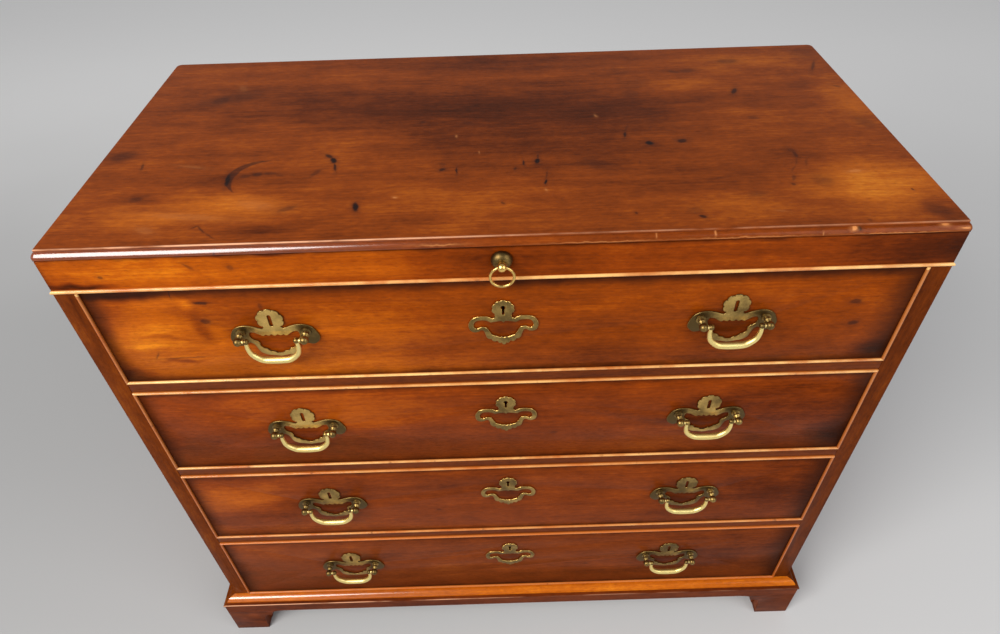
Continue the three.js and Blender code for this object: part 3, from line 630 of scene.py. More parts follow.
def moved(mesh, name, offset):
    copy = mesh.copy()
    copy.name = name
    copy.transform(Matrix.Translation(offset))
    return copy


def turned_pair(name, profile, place, faces=40):
    """Two turnings to the left and the right of a fitting's middle, in its second material."""
    pair = [turned(name, profile, (side * place, 0, 0), faces) for side in (-1, 1)]
    for mesh in pair:
        for face in mesh.polygons:
            face.material_index = 1
    return pair


def smooth_line(stretches, steps=5):
    """A line through stretches of points: smooth within each one, cusped where two meet."""
    line = []
    for points in stretches:
        last = len(points) - 1
        for index in range(last):
            a, b = points[max(index - 1, 0)], points[index]
            c, d = points[index + 1], points[min(index + 2, last)]
            for step in range(steps):
                t = step / steps
                line.append(tuple(
                    0.5 * (2 * q + (r - p) * t + (2 * p - 5 * q + 4 * r - s) * t * t
                           + (3 * q - p - 3 * r + s) * t ** 3)
                    for p, q, r, s in zip(a, b, c, d)
                ))
    line.append(tuple(stretches[-1][-1]))
    return line


def pierced_plate(name, crown, edge, opening, sizes, slot, bevel):
    """A flat casting with a bevelled edge, its second material. A crown and an edge bound it, and
    an opening and a slot are cut out. The sizes are its half width, the head's rise and the drop,
    of which the edge and the opening hold shares, for their right half."""
    half, head, drop = sizes

    def line(stretches):
        return smooth_line([
            [(across * half, up * (drop if up < 0 else head)) for across, up in points]
            for points in stretches
        ])

    def whole(right_half):
        return right_half + [(-x, y) for x, y in reversed(right_half) if x > 1e-9]

    curve = bpy.data.curves.new(name, "CURVE")
    curve.dimensions = "2D"
    curve.fill_mode = "BOTH"
    curve.extrude = PLATE_THICKNESS / 2 - bevel
    curve.bevel_depth = bevel
    curve.bevel_resolution = 2
    curve.offset = -bevel
    for outline in (whole(crown + line(edge)), whole(line(opening)), slot):
        spline = curve.splines.new("POLY")
        spline.points.add(len(outline) - 1)
        for point, (x, y) in zip(spline.points, outline):
            point.co = (x, y, 0, 1)
        spline.use_cyclic_u = True
    bm = bmesh.new()
    bm.from_mesh(plain_mesh(placed(name, curve)))
    back = Matrix.Translation((0, -PLATE_GAP - PLATE_THICKNESS / 2, 0))
    upright = back @ Matrix.Rotation(math.pi / 2, 4, "X")
    bmesh.ops.transform(bm, matrix=upright, verts=bm.verts)
    mesh = shaded(settled(bm, name, 2e-6), 40)
    for face in mesh.polygons:
        face.material_index = int(abs(face.normal.y) < 0.95)
    return mesh


# Brass plates: how thick they are and how far they stand off the wood, then for each kind its
# half width, its head's rise and its drop below the middle, and outlines in shares of these

PLATE_THICKNESS = 1.8 * MM
PLATE_GAP = 0.3 * MM
PLATE_SIZES = (48.5 * MM, 33.4 * MM, 36.2 * MM)
ESCUTCHEON_SIZES = (38 * MM, 14 * MM, 51 * MM)
PLATE_EDGE = [
    [(0.195, 0.222), (0.235, 0.17)],
    [
        (0.235, 0.17), (0.32, 0.21), (0.4, 0.26), (0.57, 0.32), (0.73, 0.3), (0.82, 0.24),
        (0.9, 0.14), (0.97, -0.06), (1, -0.22), (0.97, -0.37), (0.88, -0.49), (0.8, -0.52),
        (0.7, -0.48), (0.6, -0.38),
    ],
    [
        (0.6, -0.38), (0.52, -0.47), (0.48, -0.62), (0.43, -0.8), (0.3, -0.92), (0.16, -0.955),
        (0, -1),
    ],
]
PLATE_OPENING = [
    [(0, -0.13), (0.035, -0.12), (0.07, -0.07)],
    [(0.07, -0.07), (0.13, -0.13), (0.2, -0.085)],
    [(0.2, -0.085), (0.26, -0.135), (0.34, -0.07), (0.43, 0.01), (0.53, 0.035)],
    [(0.53, 0.035), (0.565, -0.1), (0.53, -0.25), (0.43, -0.33)],
    [(0.43, -0.33), (0.385, -0.42), (0.385, -0.55), (0.33, -0.64), (0.265, -0.66)],
    [(0.265, -0.66), (0.21, -0.76), (0.12, -0.785)],
    [(0.12, -0.785), (0.06, -0.85), (0, -0.86)],
]
ESCUTCHEON_EDGE = [
    [(0.24, -0.12), (0.245, -0.2), (0.32, -0.23)],
    [
        (0.32, -0.23), (0.45, -0.17), (0.68, -0.165), (0.85, -0.2), (0.96, -0.3), (1, -0.42),
        (0.96, -0.55), (0.85, -0.61), (0.73, -0.6), (0.655, -0.555),
    ],
    [(0.655, -0.555), (0.58, -0.57), (0.53, -0.67), (0.5, -0.765), (0.43, -0.82), (0.36, -0.825)],
    [(0.36, -0.825), (0.33, -0.875), (0.26, -0.905), (0.19, -0.88)],
    [(0.19, -0.88), (0.16, -0.935), (0.1, -0.955), (0.075, -0.935)],
    [(0.075, -0.935), (0.045, -0.985), (0, -1)],
]
ESCUTCHEON_OPENING = [
    [(0, -0.35), (0.04, -0.31)],
    [(0.04, -0.31), (0.12, -0.305), (0.24, -0.32), (0.36, -0.34)],
    [
        (0.36, -0.34), (0.5, -0.28), (0.68, -0.272), (0.8, -0.31), (0.85, -0.41), (0.82, -0.49),
        (0.74, -0.505), (0.64, -0.46),
    ],
    [(0.64, -0.46), (0.49, -0.485), (0.41, -0.59), (0.33, -0.7), (0.22, -0.735)],
    [(0.22, -0.735), (0.12, -0.775), (0.06, -0.77), (0, -0.785)],
]


def palmette(centre, radius, spread):
    """The right half of a scalloped head, from its top round to its neck, which is the spread in
    degrees away."""
    lobes, dip = 7, 0.11
    steps = lobes * 10
    points = []
    for step in range(steps // 2, steps + 1):
        turn = (step / steps - 0.5) * 2
        lobe = abs(math.cos(math.pi * lobes * turn / 2))
        reach = radius * (1 - dip + dip * math.sqrt(lobe))
        angle = math.radians(spread) * turn
        points.append((reach * math.sin(angle), centre + reach * math.cos(angle)))
    return points


# Sizes and colours that a user may change


def length(name, description, default, low=0.0, high=0.1):
    return FloatProperty(
        name=name, description=description, default=default, min=low, max=high,
        subtype="DISTANCE", unit="LENGTH",
    )


def colour(name, description, red, green, blue):
    return FloatVectorProperty(
        name=name, description=description, default=linear(red, green, blue)[:3],
        min=0, max=1, size=3, subtype="COLOR",
    )


class ChestSizes(bpy.types.PropertyGroup):
    arris: length("Arris", "Rounding of the case's and the drawers' edges", 0.7 * MM)
    top_arris: length("Top arris", "Rounding of the top board's edges", 1.0 * MM)
    moulding_wobble: length(
        "Moulding wobble", "How far hand planing draws a moulding in", 0.12 * MM
    )
    plate_bevel: length("Plate bevel", "Width of the bevel round the brass plates", 0.75 * MM)
    bail_end: length("Bail end radius", "Radius of a bail where it enters its posts", 2.0 * MM)
    bail_middle: length(
        "Bail middle radius", "Radius of a bail at the middle of its grip", 4.1 * MM
    )
    ring_wire: length("Ring wire", "Radius of the wire of the ring pull", 1.5 * MM)
    nail_head: length("Nail head", "Radius of the nail heads in the backboards", 3.2 * MM)
    bail_steps: IntProperty(
        name="Bail steps", description="Steps along each bail", default=64, min=8, max=200
    )
    floor_reach: length("Floor reach", "Half the width of the floor", 9.0, 2.0, 40.0)


class ChestColours(bpy.types.PropertyGroup):
    wood_dark: colour("Dark mahogany", "The darkest lines of the mahogany", 52, 20, 10)
    wood_low: colour("Deep mahogany", "Mahogany in its darker parts", 98, 42, 17)
    wood_mid: colour("Mahogany", "Mahogany at its usual tone", 142, 66, 24)
    wood_high: colour("Bright mahogany", "Mahogany where light has faded it", 186, 98, 32)
    wood_light: colour("Faded mahogany", "The palest lights of the mahogany", 230, 142, 52)
    # The pale bead colour stands for the beads' wood with a painted highlight on it
    bead: colour("Bead", "The pale beads between the drawers", 255, 206, 128)
    oak: colour("Oak", "Drawer linings and backboards", 152, 112, 70)
    brass_bright: colour("Bright brass", "Brass that hands keep bright", 255, 236, 158)
    brass_light: colour("Rubbed brass", "Brass where it is rubbed", 244, 202, 116)
    brass_dark: colour("Brass patina", "Brass in its hollows", 100, 80, 46)
    iron: colour("Iron", "Locks and nails", 74, 66, 60)
    floor: colour("Floor", "The plain floor", 197, 197, 197)


def colours_of(*names):
    colours = bpy.context.scene.chest_colours
    return [(*getattr(colours, name), 1.0) for name in names]


def dimmed(colour, share, tint=(1.0, 1.0, 1.0)):
    """A colour with less light in it, and a tint."""
    return (*(part * share * dye for part, dye in zip(colour, tint)), 1.0)


def duller(palette, share, tint):
    return [dimmed(colour, share, tint) for colour in palette]


def mahogany(share, tint=(1.0, 1.0, 1.0)):
    names = ("wood_dark", "wood_low", "wood_mid", "wood_high", "wood_light")
    return duller(colours_of(*names), share, tint)


def oak(name, grain, seed, tone, figure, streaks, **changes):
    """Oak of the linings and backboards: dry and unpolished."""
    palette = [dimmed(colours_of("oak")[0], share) for share in (0.3, 0.62, 0.95, 1.25)]
    return wood(name, palette, grain, seed, tone, figure, streaks, coat=0.0, **changes)


def moulding_wood(name, palette, seed, tone, **changes):
    return wood(
        name, palette, ("X", "Y", turned_leg), seed, tone, 0.4, 0.35, roughness=0.28, gloss=0.06,
        coat=(1.0, 0.1), coat_roughness=0.15, coat_ior=1.85, **changes,
    )


def brass(name, seed, rubbed_and_lit, **changes):
    return metal(name, *colours_of("brass_dark", "brass_light"), seed, rubbed_and_lit, **changes)


# Marks of use. Those on the top are strokes: place of both ends, across and in depth, half width
# and depth

TOP_STAINS = [
    (-298.5, -80, -295.5, -104, 3.2, 1), (-284, -86, -275, -83, 4.2, 0.45),
    (-270, -81, -262, -81, 4.7, 0.6), (-260, -80, -246, -80, 3.6, 0.45),
    (-246, -81, -238, -86, 2.8, 0.3), (-197, -42, -189, -50, 3.5, 0.85),
    (-189, -50, -184, -62, 3.7, 1), (-184, -62, -181, -80, 1.8, 0.85),
    (-198, -75, -207, -90, 3.6, 0.45), (-150, -144, -148, -160, 3.4, 1),
    (-367, 102, -352, 113, 13.3, 0.6), (-382, 101, -310, 125, 17.9, 0.45),
    (-444, -36, -425, -28, 13.9, 0.45), (-404, -50, -402, -64, 2.1, 0.6),
    (-391, -127, -381, -124, 5.8, 0.45), (-227, -155, -213, -149, 4.7, 0.45),
    (-217, -150, -211, -148, 3.7, 0.3), (-309, -181, -305, -178, 1.4, 0.6),
    (-305, -178, -293, -190, 1.4, 0.6), (-293, -190, -280, -201, 1.2, 0.45),
    (-64, -84, -60, -83, 3.6, 0.85), (-63, -76, -62, -71, 4.2, 0.3),
    (-46, -80, -46, -94, 1.2, 0.85), (28, -69, 29, -80, 1.5, 0.85), (44, -66, 43, -77, 3.4, 1),
    (45, -57, 44, -67, 1.6, 0.6), (19, -84, 18, -89, 2.1, 0.6), (51, -111, 49, -120, 1.8, 1),
    (53, -93, 51, -110, 1, 0.45), (2, -152, 4, -155, 1.9, 0.6), (151, -11, 148, -24, 2, 0.85),
    (157, 7, 152, -9, 1.7, 0.3), (172, -38, 178, -40, 5.1, 1), (209, -37, 217, -36, 5.1, 0.85),
    (157, -79, 156, -85, 1.6, 0.3), (163, 165, 175, 154, 15.7, 0.22),
    (171, 111, 194, 127, 17.2, 0.22), (172, 96, 177, 83, 12, 0.3), (160, 40, 188, 17, 27.8, 0.12),
    (96, -77, 122, -87, 11.6, 0.3), (310, 182, 335, 182, 8.7, 0.45), (251, 153, 269, 157, 7, 0.45),
    (235, 155, 250, 150, 4.8, 0.45), (310, 96, 303, 81, 3.7, 0.85),
    (424, 206, 443, 191, 20.2, 0.22), (440, 174, 426, 143, 2.5, 0.6),
    (436, 95, 445, 91, 2.6, 0.45), (431, 5, 441, -16, 11.2, 0.3), (306, 15, 314, 16, 5.6, 0.3),
    (326, -63, 331, -68, 4.6, 0.45), (331, -68, 330, -81, 2.8, 0.6),
    (330, -81, 324, -97, 1.1, 0.3), (324, -97, 314, -111, 1.3, 0.3),
    (340, -84, 334, -100, 1.6, 0.3), (337, -125, 346, -134, 12.2, 0.3),
    (315, -118, 311, -128, 2.3, 0.45), (307, -134, 309, -137, 2.3, 0.6),
    (230, -119, 243, -118, 2, 0.3), (258, -153, 274, -150, 6.5, 0.3),
    (199, -187, 203, -190, 3.3, 0.85), (191, -180, 201, -177, 7.8, 0.3),
    (425, -151, 426, -153, 1.3, 0.85), (360, -202, 361, -206, 2.7, 0.3),
    (429, -183, 436, -198, 12.5, 0.3), (135, -178, 137, -180, 1.8, 0.6),
    (-94, 26, -89, 33, 3.6, 0.3), (-42, 27, -28, 20, 4.6, 0.3),
]
# Crescents: centre and radius of the outer circle, then of the inner one, and depth
TOP_CRESCENTS = [(-264.5, -87, 36, -251.2, -92.5, 41.2, 0.62)]
TOP_SCUFFS = [
    (-360, -57, -331, -64, 2.7, 0.14), (-272, -138, -238, -147, 8.7, 0.14),
    (-360, -155, -282, -166, 6.2, 0.14), (-363, -179, -348, -187, 5.9, 0.14),
    (-343, 152, -335, 134, 5, 0.1), (-49, -6, -48, -11, 1.2, 0.35),
    (-21, -46, -21, -50, 0.9, 0.35), (121, 35, 122, 30, 1.8, 0.35),
    (-111, -136, -108, -137, 1.7, 0.5), (49, -129, 50, -133, 1.4, 0.35),
    (375, -114, 388, -113, 2.8, 0.35), (274, -182, 286, -185, 1.7, 0.14),
]
# Broad lights and shades of the top: place, radii, depth
TOP_PATCHES = [
    (-330, -150, 200, 75, 0.16), (400, -140, 120, 90, 0.36), (240, 120, 160, 50, 0.16),
    (-420, -50, 100, 120, 0.02), (-140, 50, 220, 120, -0.16), (190, 30, 120, 80, -0.08),
    (40, 40, 260, 160, -0.26), (-30, -150, 160, 50, 0.08), (440, 60, 50, 120, 0.26),
    (120, -150, 120, 50, -0.06), (-300, 140, 160, 70, -0.05), (440, -190, 30, 30, -0.25),
    (-200, -20, 120, 50, 0.1), (320, 20, 60, 50, 0.08), (-20, 200, 260, 50, -0.18),
    (330, 180, 140, 50, 0.16), (220, -175, 140, 35, 0.16), (-250, 80, 160, 100, -0.08),
    (-270, -135, 80, 24, 0.22), (-360, -165, 70, 20, 0.16), (-240, -188, 70, 14, -0.2),
    (-385, -125, 60, 16, -0.16),
]
# The top's marks are many, so it is painted in three lengths that meet unseen
TOP_CUTS = (-130 * MM, 220 * MM)

# On the front, marks are ellipses: place, rise, half width, half height, turn in degrees and
# depth. Rows of painted light and shade have no turn, and on the drawers they rise from the front's
# middle.
TOP_EDGE_CHIPS = [(349, 803, 2.2, 1.8, 0, 0.95), (-280, 800, 1, 4, 30, 0.5)]
# Pale nicks along the top's moulding, and long thin pale lines along its lower arris, which are
# painted highlights
TOP_EDGE_NICKS_AND_GLINTS = [
    (344, 803.5, 3, 1.6, 0, 1), (432, 804.5, 4, 1.4, 0, 0.85), (452, 801, 5, 1, 0, 0.85),
    (151.5, 802.5, 0.8, 1.8, 0, 0.45), (208.5, 803.5, 1, 2.2, 0, 0.6),
    (314, 800, 0.8, 1.8, 0, 0.45), (-60, 801, 20, 0.8, 0, 0.45), (100, 799, 50, 0.6, 0, 0.45),
    (240, 799, 60, 0.6, 0, 0.45), (390, 798.5, 50, 0.6, 0, 0.6),
]
# Painted light on the slide's face: lighter to the left and darker to the right, with painted shadow
# lines under the moulding and above the bead's left end
SLIDE_PAINTED_LIGHT = [
    (-360, 780, 170, 50, 0.34), (-160, 780, 160, 50, 0.22), (430, 775, 120, 50, -0.34),
    (20, 775, 140, 50, -0.12), (-430, 761, 60, 6, -0.5), (-200, 797, 300, 4, -0.3),
]
SLIDE_KNOTS = [
    (-312, 783, 7, 2.2, 40, 0.45), (-271, 780, 4, 3.5, 0, 0.45), (-403, 772, 3, 2.8, 0, 0.6),
]
# Lighter and darker places on the drawer fronts: painted light, brightest to the left, dark places
# at some corners and edges, dirt and painted shade, and some figure
DRAWER_TONES_AND_PAINTED_LIGHT = {
    1: [
        (-380, 0, 120, 80, 0.4), (-200, 0, 180, 90, 0.18), (-180, -50, 300, 30, 0.2),
        (-365, 48, 50, 12, 0.22), (-363, 0, 45, 6, -0.2), (-392, -13, 35, 6, 0.2),
        (-322, 15, 13, 34, -0.22), (-333, 45, 14, 8, 0.25), (-357, -33, 40, 4, -0.35),
        (420, -50, 50, 30, -0.35), (-430, -60, 50, 20, -0.35), (340, 0, 140, 100, -0.08),
        (-400, 62, 70, 8, -0.4), (-426, 30, 22, 45, -0.2),
    ],
    2: [
        (-200, 20, 200, 60, 0.24), (-400, 0, 70, 50, 0.02), (420, -45, 60, 40, -0.3),
        (340, 0, 160, 100, -0.2), (0, -30, 500, 30, -0.05),
    ],
    3: [(-380, 20, 100, 50, 0.28), (200, 0, 120, 50, 0.06), (380, 0, 120, 80, -0.24)],
    4: [(-300, 0, 160, 50, 0.05), (360, 0, 160, 80, -0.16)],
}
DRAWER_KNOTS = {
    1: [
        (-314, 734.5, 8.5, 2.6, 0, 0.8), (-317.5, 708.5, 6.5, 4.2, 10, 0.7),
        (-386, 749, 0.6, 4, 0, 0.7), (-342, 748, 0.7, 5, 8, 0.7), (-357, 654.5, 34, 1.1, -2, 0.45),
        (-386, 659, 1.2, 7, 30, 0.5), (376, 708, 7.5, 4.2, 0, 0.7), (383, 677, 7, 4.2, 0, 0.7),
        (-254, 727, 2.5, 6, 0, 0.45),
    ],
    2: [(60, 500, 5, 3, 0, 0.4)],
    3: [(-100, 330, 4, 3, 0, 0.4)],
    4: [(120, 160, 4, 3, 0, 0.4)],
}
# Light, tint, tone and figure of each drawer's front; the lower fronts are painted darker and
# greyer, painted shade and a painted reflection of the floor. Round its brasses the wood is
# painted darker: dirt and painted shade.
DRAWER_SHADES = {
    1: (1.0, (1, 0.86, 0.2), 0.45, 0.5),
    2: (0.9, (1, 0.82, 0.35), 0.43, 0.45),
    3: (0.84, (1, 0.86, 0.5), 0.42, 0.45),
    4: (0.8, (1, 0.94, 0.8), 0.44, 0.4),
}


def on_front(rows, level=0.0):
    """Rows of the tables as marks or lights on the front."""
    return [
        (
            (x * MM, FRONT, level + z * MM), (half * MM, 1.0, half_height * MM),
            *((0, math.radians(angle), 0) for angle in turn), depth,
        )
        for x, z, half, half_height, *turn, depth in rows
    ]


def oval(x, y, wide, deep, level):
    """Centre and radii of an oval on the top's face, from its millimetres."""
    return (x * MM, y * MM, level), (wide * MM, deep * MM, 1.0)


def on_top(rows, level, start, end):
    """The rows of strokes between two places across, as marks on the top's face."""
    marks = []
    for *places, depth in rows:
        x, y, end_x, end_y, width = (place * MM for place in places)
        middle = (x + end_x) / 2
        reach = math.hypot(end_x - x, end_y - y) / 2 + width * 0.6
        halo = 2.5 * max(reach, width) + 3 * MM
        if start <= middle + halo and middle - halo <= end:
            turn = math.atan2(end_y - y, end_x - x)
            centre = (middle, (y + end_y) / 2, level)
            marks.append((centre, (reach, width, 1.0), (0, 0, turn), depth))
    return marks


def leg_of(place):
    """0 on the front of a moulding round the case, 1 on its left leg and 2 on its right one."""
    return 1 + (place.x > 0) if abs(place.x) - CASE_RIGHT > FRONT - place.y else 0


def side_looks():
    return [bpy.data.materials[f"Mahogany {side} side"] for side in SIDES]


def three_sides(back, level, inset=0.0):
    """The path round the left side, the front and the right side of the case."""
    half = CASE_RIGHT - inset
    corners = [(-half, back), (-half, FRONT), (half, FRONT), (half, back)]
    return [Vector((x, y, level)) for x, y in corners]


class PieceOperator(bpy.types.Operator):
    """Adds pieces of the chest"""
    bl_idname = "chest.piece"
    bl_label = "Chest piece"
    bl_options = {"REGISTER", "UNDO"}


class CHEST_OT_case(PieceOperator):
    """Adds the case: sides, bottom, rails and the dividers between the drawers"""
    bl_idname = "chest.case"
    bl_label = "Case"

    def execute(self, context):
        arris = context.scene.chest_sizes.arris
        for side, seed, tone in (("left", 3.0, 0.46), ("right", 17.0, 0.38)):
            node = f"case_side_{side}"
            look = wood(
                f"Mahogany {side} side", mahogany(0.9, (1, 0.95, 0.45)), "Z", seed, tone, 0.5, 0.38,
                box=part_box(node), margin=(0.05, 0.03, 0.08, 0.03), soil=0.4, gloss=0.03, coat=0.02,
                mottling=0.75,
            )
            eased(node, f"{side}_side", look, arris)
        for number in DRAWERS[:-1]:
            name = f"divider_{number}"
            look = wood(f"Mahogany divider {number}", mahogany(0.62), "X", 20.0 + number, 0.4, 0.3)
            eased(f"drawer_{name}", name, look, arris)
        inner = oak("Oak lining", "X", 31.0, 0.5, 0.3, 0.4, roughness=0.6)
        eased("case_bottom", "bottom", inner, arris)
        eased("top_rail", "slide_rails", inner, arris)
        return {"FINISHED"}


class CHEST_OT_top(PieceOperator):
    """Adds the top board with the marks of use, and the moulding under its edge"""
    bl_idname = "chest.top"
    bl_label = "Top"

    def execute(self, context):
        sizes = context.scene.chest_sizes
        shades = mahogany(0.96, (1, 0.95, 0.6))
        low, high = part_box("top_board")
        forward = 2 * MM
        ends = [low.x, *TOP_CUTS, high.x]
        looks = []
        for number, (start, end) in enumerate(zip(ends, ends[1:]), 1):
            patches = [
                (*oval(x, y, wide, deep, high.z), depth)
                for x, y, wide, deep, depth in TOP_PATCHES
                if start < (x + wide + 20) * MM and (x - wide - 20) * MM < end
            ]
            crescents = [
                (oval(x, y, reach, reach, high.z), oval(in_x, in_y, bite, bite, high.z), depth)
                for x, y, reach, in_x, in_y, bite, depth in TOP_CRESCENTS
                if start < x * MM < end
            ]
            # The top's arris is painted pale: wear with a painted highlight
            looks.append(wood(
                f"Mahogany top {number}", shades, "X", 41.0, 0.45, 0.36, 0.32, patches,
                on_top(TOP_STAINS, high.z, start, end), on_top(TOP_SCUFFS, high.z, start, end),
                crescents, arris=(low.y - forward, high.z, 1.6 * MM), roughness=0.34, gloss=0.06,
                mottling=0.55,
            ))
        width = sizes.top_arris
        eased("top_board", "top", looks, width, 3, cuts=TOP_CUTS, forward=forward)
        lift = 2.5 * MM
        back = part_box("top_moulding")[1].y
        profile = self.upper_profile(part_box("top_moulding")[1].z - low.z - lift)
        bend = 5 * MM
        corner = arc((CASE_RIGHT - bend, forward - FRONT - bend), bend, 0, 90, 6)
        right = [Vector((x, -y, low.z + lift)) for x, y in [(CASE_RIGHT, -back), *corner]]
        path = [Vector((-point.x, point.y, point.z)) for point in right] + right[::-1]
        upper = moulded("upper", path, profile, wobble=sizes.moulding_wobble, seed=2.0)
        root = -11.7 * MM
        section = [(root, 0), (0, 0), (0, lift), (root, lift)]
        strip = moulded("strip", three_sides(back, low.z), section)
        for face in strip.polygons:
            face.material_index = 1 + leg_of(face.center)
        look = moulding_wood(
            "Mahogany top moulding", duller(shades, 0.88, (1, 0.96, 0.8)), 47.0, 0.42,
            stains=on_front(TOP_EDGE_CHIPS), scuffs=on_front(TOP_EDGE_NICKS_AND_GLINTS),
        )
        mesh = shaded(joined("top_edge", [upper, strip]), 28)
        looks = [look, slide_look(), *side_looks()]
        show("top_edge", mesh, "case", looks, ["top_moulding"])
        return {"FINISHED"}

    @staticmethod
    def upper_profile(height):
        """A flattened ovolo between a lip and a quirk."""
        reach, setback, lip, quirk, inner = 1 * MM, 3.6 * MM, 1.6 * MM, 1 * MM, 4.6 * MM
        ovolo = []
        for step, (out, up) in enumerate(arc((0, 0), 1, 0, 90, 12)):
            flat = step / 12
            ovolo.append((
                (reach + setback) * (1 - flat + out) / 2 - setback,
                lip + (height - lip - quirk) * (flat + up) / 2,
            ))
        return [
            (-inner, 0), (0, 0), (reach, 0.6 * MM), *ovolo, (-setback, height), (-inner, height),
        ]


class CHEST_OT_base(PieceOperator):
    """Adds the base moulding with its fascia and the bracket feet"""
    bl_idname = "chest.base"
    bl_label = "Base"

    def execute(self, context):
        sizes = context.scene.chest_sizes
        low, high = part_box("base_moulding")
        inner, fascia_reach, fascia_top = 0.3 * MM, 16.5 * MM, low.z + 20.5 * MM
        reach, ledge = 17.7 * MM, fascia_top + 3 * MM
        profile = [
            (inner, low.z), (fascia_reach, low.z), (fascia_reach, fascia_top), (reach, fascia_top),
            (reach, ledge), *arc((3.3 * MM, ledge), high.z - ledge, 0, 90, 14), (inner, high.z),
        ]
        mesh = moulded(
            "base_mould", three_sides(high.y, 0), profile, wobble=sizes.moulding_wobble, seed=7.0
        )
        # The fascia and the ledge below the round take the fascia look: the ledge is painted dark,
        # dirt and painted shade in the quirk
        for face in mesh.polygons:
            leg = leg_of(face.center)
            face.material_index = leg + 1 if leg else int(face.center.z < ledge + 0.1 * MM)
        palette = mahogany(1.14, (1, 0.92, 0.34))
        look = moulding_wood("Mahogany base moulding", palette, 53.0, 0.74)
        # The fascia's arris is painted pale: wear with a painted highlight
        fascia = wood(
            "Mahogany fascia", mahogany(0.7, (1, 0.95, 0.9)), ("X", "Y", turned_leg), 57.0, 0.36,
            0.4, roughness=0.4, gloss=0.04, arris=(FRONT - reach, ledge, 1.5 * MM),
        )
        looks = [look, fascia, *side_looks()]
        show("base_mould", mesh, "case", looks, ["base_moulding"])
        feet = sorted(node for node in frame["nodes"] if node.startswith("foot_"))
        for index, node in enumerate(feet):
            foot = wood(
                f"Mahogany {node.replace('_', ' ')}", mahogany(0.82, (1, 1.05, 1.6)), "X",
                61.0 + index, 0.38, 0.4, box=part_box(node), margin=(0.002, 0.002, 0.03, 0.002),
                soil=0.4, roughness=0.38, gloss=0.04, mottling=0.8,
            )
            eased(node, f"bracket_{node}", foot, sizes.arris)
        return {"FINISHED"}


def new_tree(name, **inputs):
    """A Geometry Nodes tree with named inputs: its graph and its input node."""
    tree = bpy.data.node_groups.new(name, "GeometryNodeTree")
    for title, kind in {"Geometry": "Geometry", **inputs, "Material": "Material"}.items():
        title = title.replace("_", " ")
        tree.interface.new_socket(title, in_out="INPUT", socket_type=f"NodeSocket{kind}")
    tree.interface.new_socket("Geometry", in_out="OUTPUT", socket_type="NodeSocketGeometry")
    graph = Graph(tree)
    return graph, graph.add("NodeGroupInput")


def close_tree(graph, given, geometry):
    """Ends a tree in Realize Instances and Set Material."""
    single = graph.add("GeometryNodeRealizeInstances", None, {0: geometry})
    sockets = {"Geometry": single(), "Material": given("Material")}
    graph.add("NodeGroupOutput", None, {0: graph.add("GeometryNodeSetMaterial", None, sockets)()})
    return graph.tree


def grown(name, tree, mesh, **inputs):
    """The plain mesh that a tree makes from a mesh, with its inputs set by name."""
    obj = placed(name, mesh)
    modifier = obj.modifiers.new(name, "NODES")
    modifier.node_group = tree
    for item in tree.interface.items_tree:
        title = item.name.replace(" ", "_")
        if item.in_out == "INPUT" and title in inputs:
            modifier[item.identifier] = inputs[title]
    result = plain_mesh(obj)
    result.name = name
    return result


def nail_tree():
    """Geometry Nodes for a row of nails: a low domed head at every point of the given mesh."""
    graph, given = new_tree("Nail heads", Head_radius="Float", Head_rise="Float")
    head = graph.add(
        "GeometryNodeMeshCone", None,
        {
            "Vertices": 14, "Side Segments": 2, "Radius Top": given("Head radius") * 0.55,
            "Radius Bottom": given("Head radius"), "Depth": given("Head rise"),
        },
    )
    upright, lean = -math.pi / 2, 0.02
    turn = graph.add(
        "FunctionNodeRandomValue", {"data_type": "FLOAT_VECTOR"},
        {"Min": (upright - lean, 0, -lean), "Max": (upright + lean, 0, lean), "Seed": 5},
    )
    sockets = {"Points": given("Geometry"), "Instance": head("Mesh"), "Rotation": turn("Value")}
    row = graph.add("GeometryNodeInstanceOnPoints", None, sockets)
    return close_tree(graph, given, row("Instances"))


# The nails that hold the backboards to the dividers
NAIL_LEVELS = (264 * MM, 438 * MM, 606 * MM)


class CHEST_OT_back(PieceOperator):
    """Adds the grooved backboards and the nails that hold them"""
    bl_idname = "chest.back"
    bl_label = "Back"

    def execute(self, context):
        sizes = context.scene.chest_sizes
        low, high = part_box("back_panel")
        rise = 0.5 * MM
        look = oak(
            "Oak backboards", "Z", 71.0, 0.42, 0.6, 0.6, box=(low, high),
            margin=(0.04, 0.04, 0.06, 0.05), soil=0.45, roughness=0.68,
        )
        eased("back_panel", "backboards", look, 0.5 * MM, back_limit=high.y - rise)
        iron = metal("Iron nails", *colours_of("brass_dark", "iron"), 73.0, 0.4, (0.6, 0.45))
        boards, inset = 5, 14 * MM
        width = (high.x - low.x) / boards
        points = [
            (low.x + width * board + place, high.y - rise, level)
            for board in range(boards)
            for place in (inset, width - inset)
            for level in (low.z + 9 * MM, *NAIL_LEVELS, high.z - 30 * MM)
        ]
        mesh = bpy.data.meshes.new("nail places")
        mesh.from_pydata(points, [], [])
        heads = grown(
            "nails", nail_tree(), mesh,
            Head_radius=sizes.nail_head, Head_rise=rise * 0.8, Material=iron,
        )
        show("nails", heads, "case", [iron])
        return {"FINISHED"}


def slide_look():
    """The slide's face, painted light and golden at its left end, with a painted shadow under
    the moulding. The strip above it shares this look.
    """
    name = "Mahogany slide face"
    if name in bpy.data.materials:
        return bpy.data.materials[name]
    low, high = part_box("slide_front")
    return wood(
        name, mahogany(0.94, (1, 0.8, 0.2)), "X", 83.0, 0.47, 0.4, 0.4, on_front(SLIDE_PAINTED_LIGHT),
        on_front(SLIDE_KNOTS), box=(low, high + Vector((0, 0, 2.5 * MM))), soil=0.55, gloss=0.04,
        margin=(0.01, 0.03, 0.004, 0.006), mottling=0.5,
    )


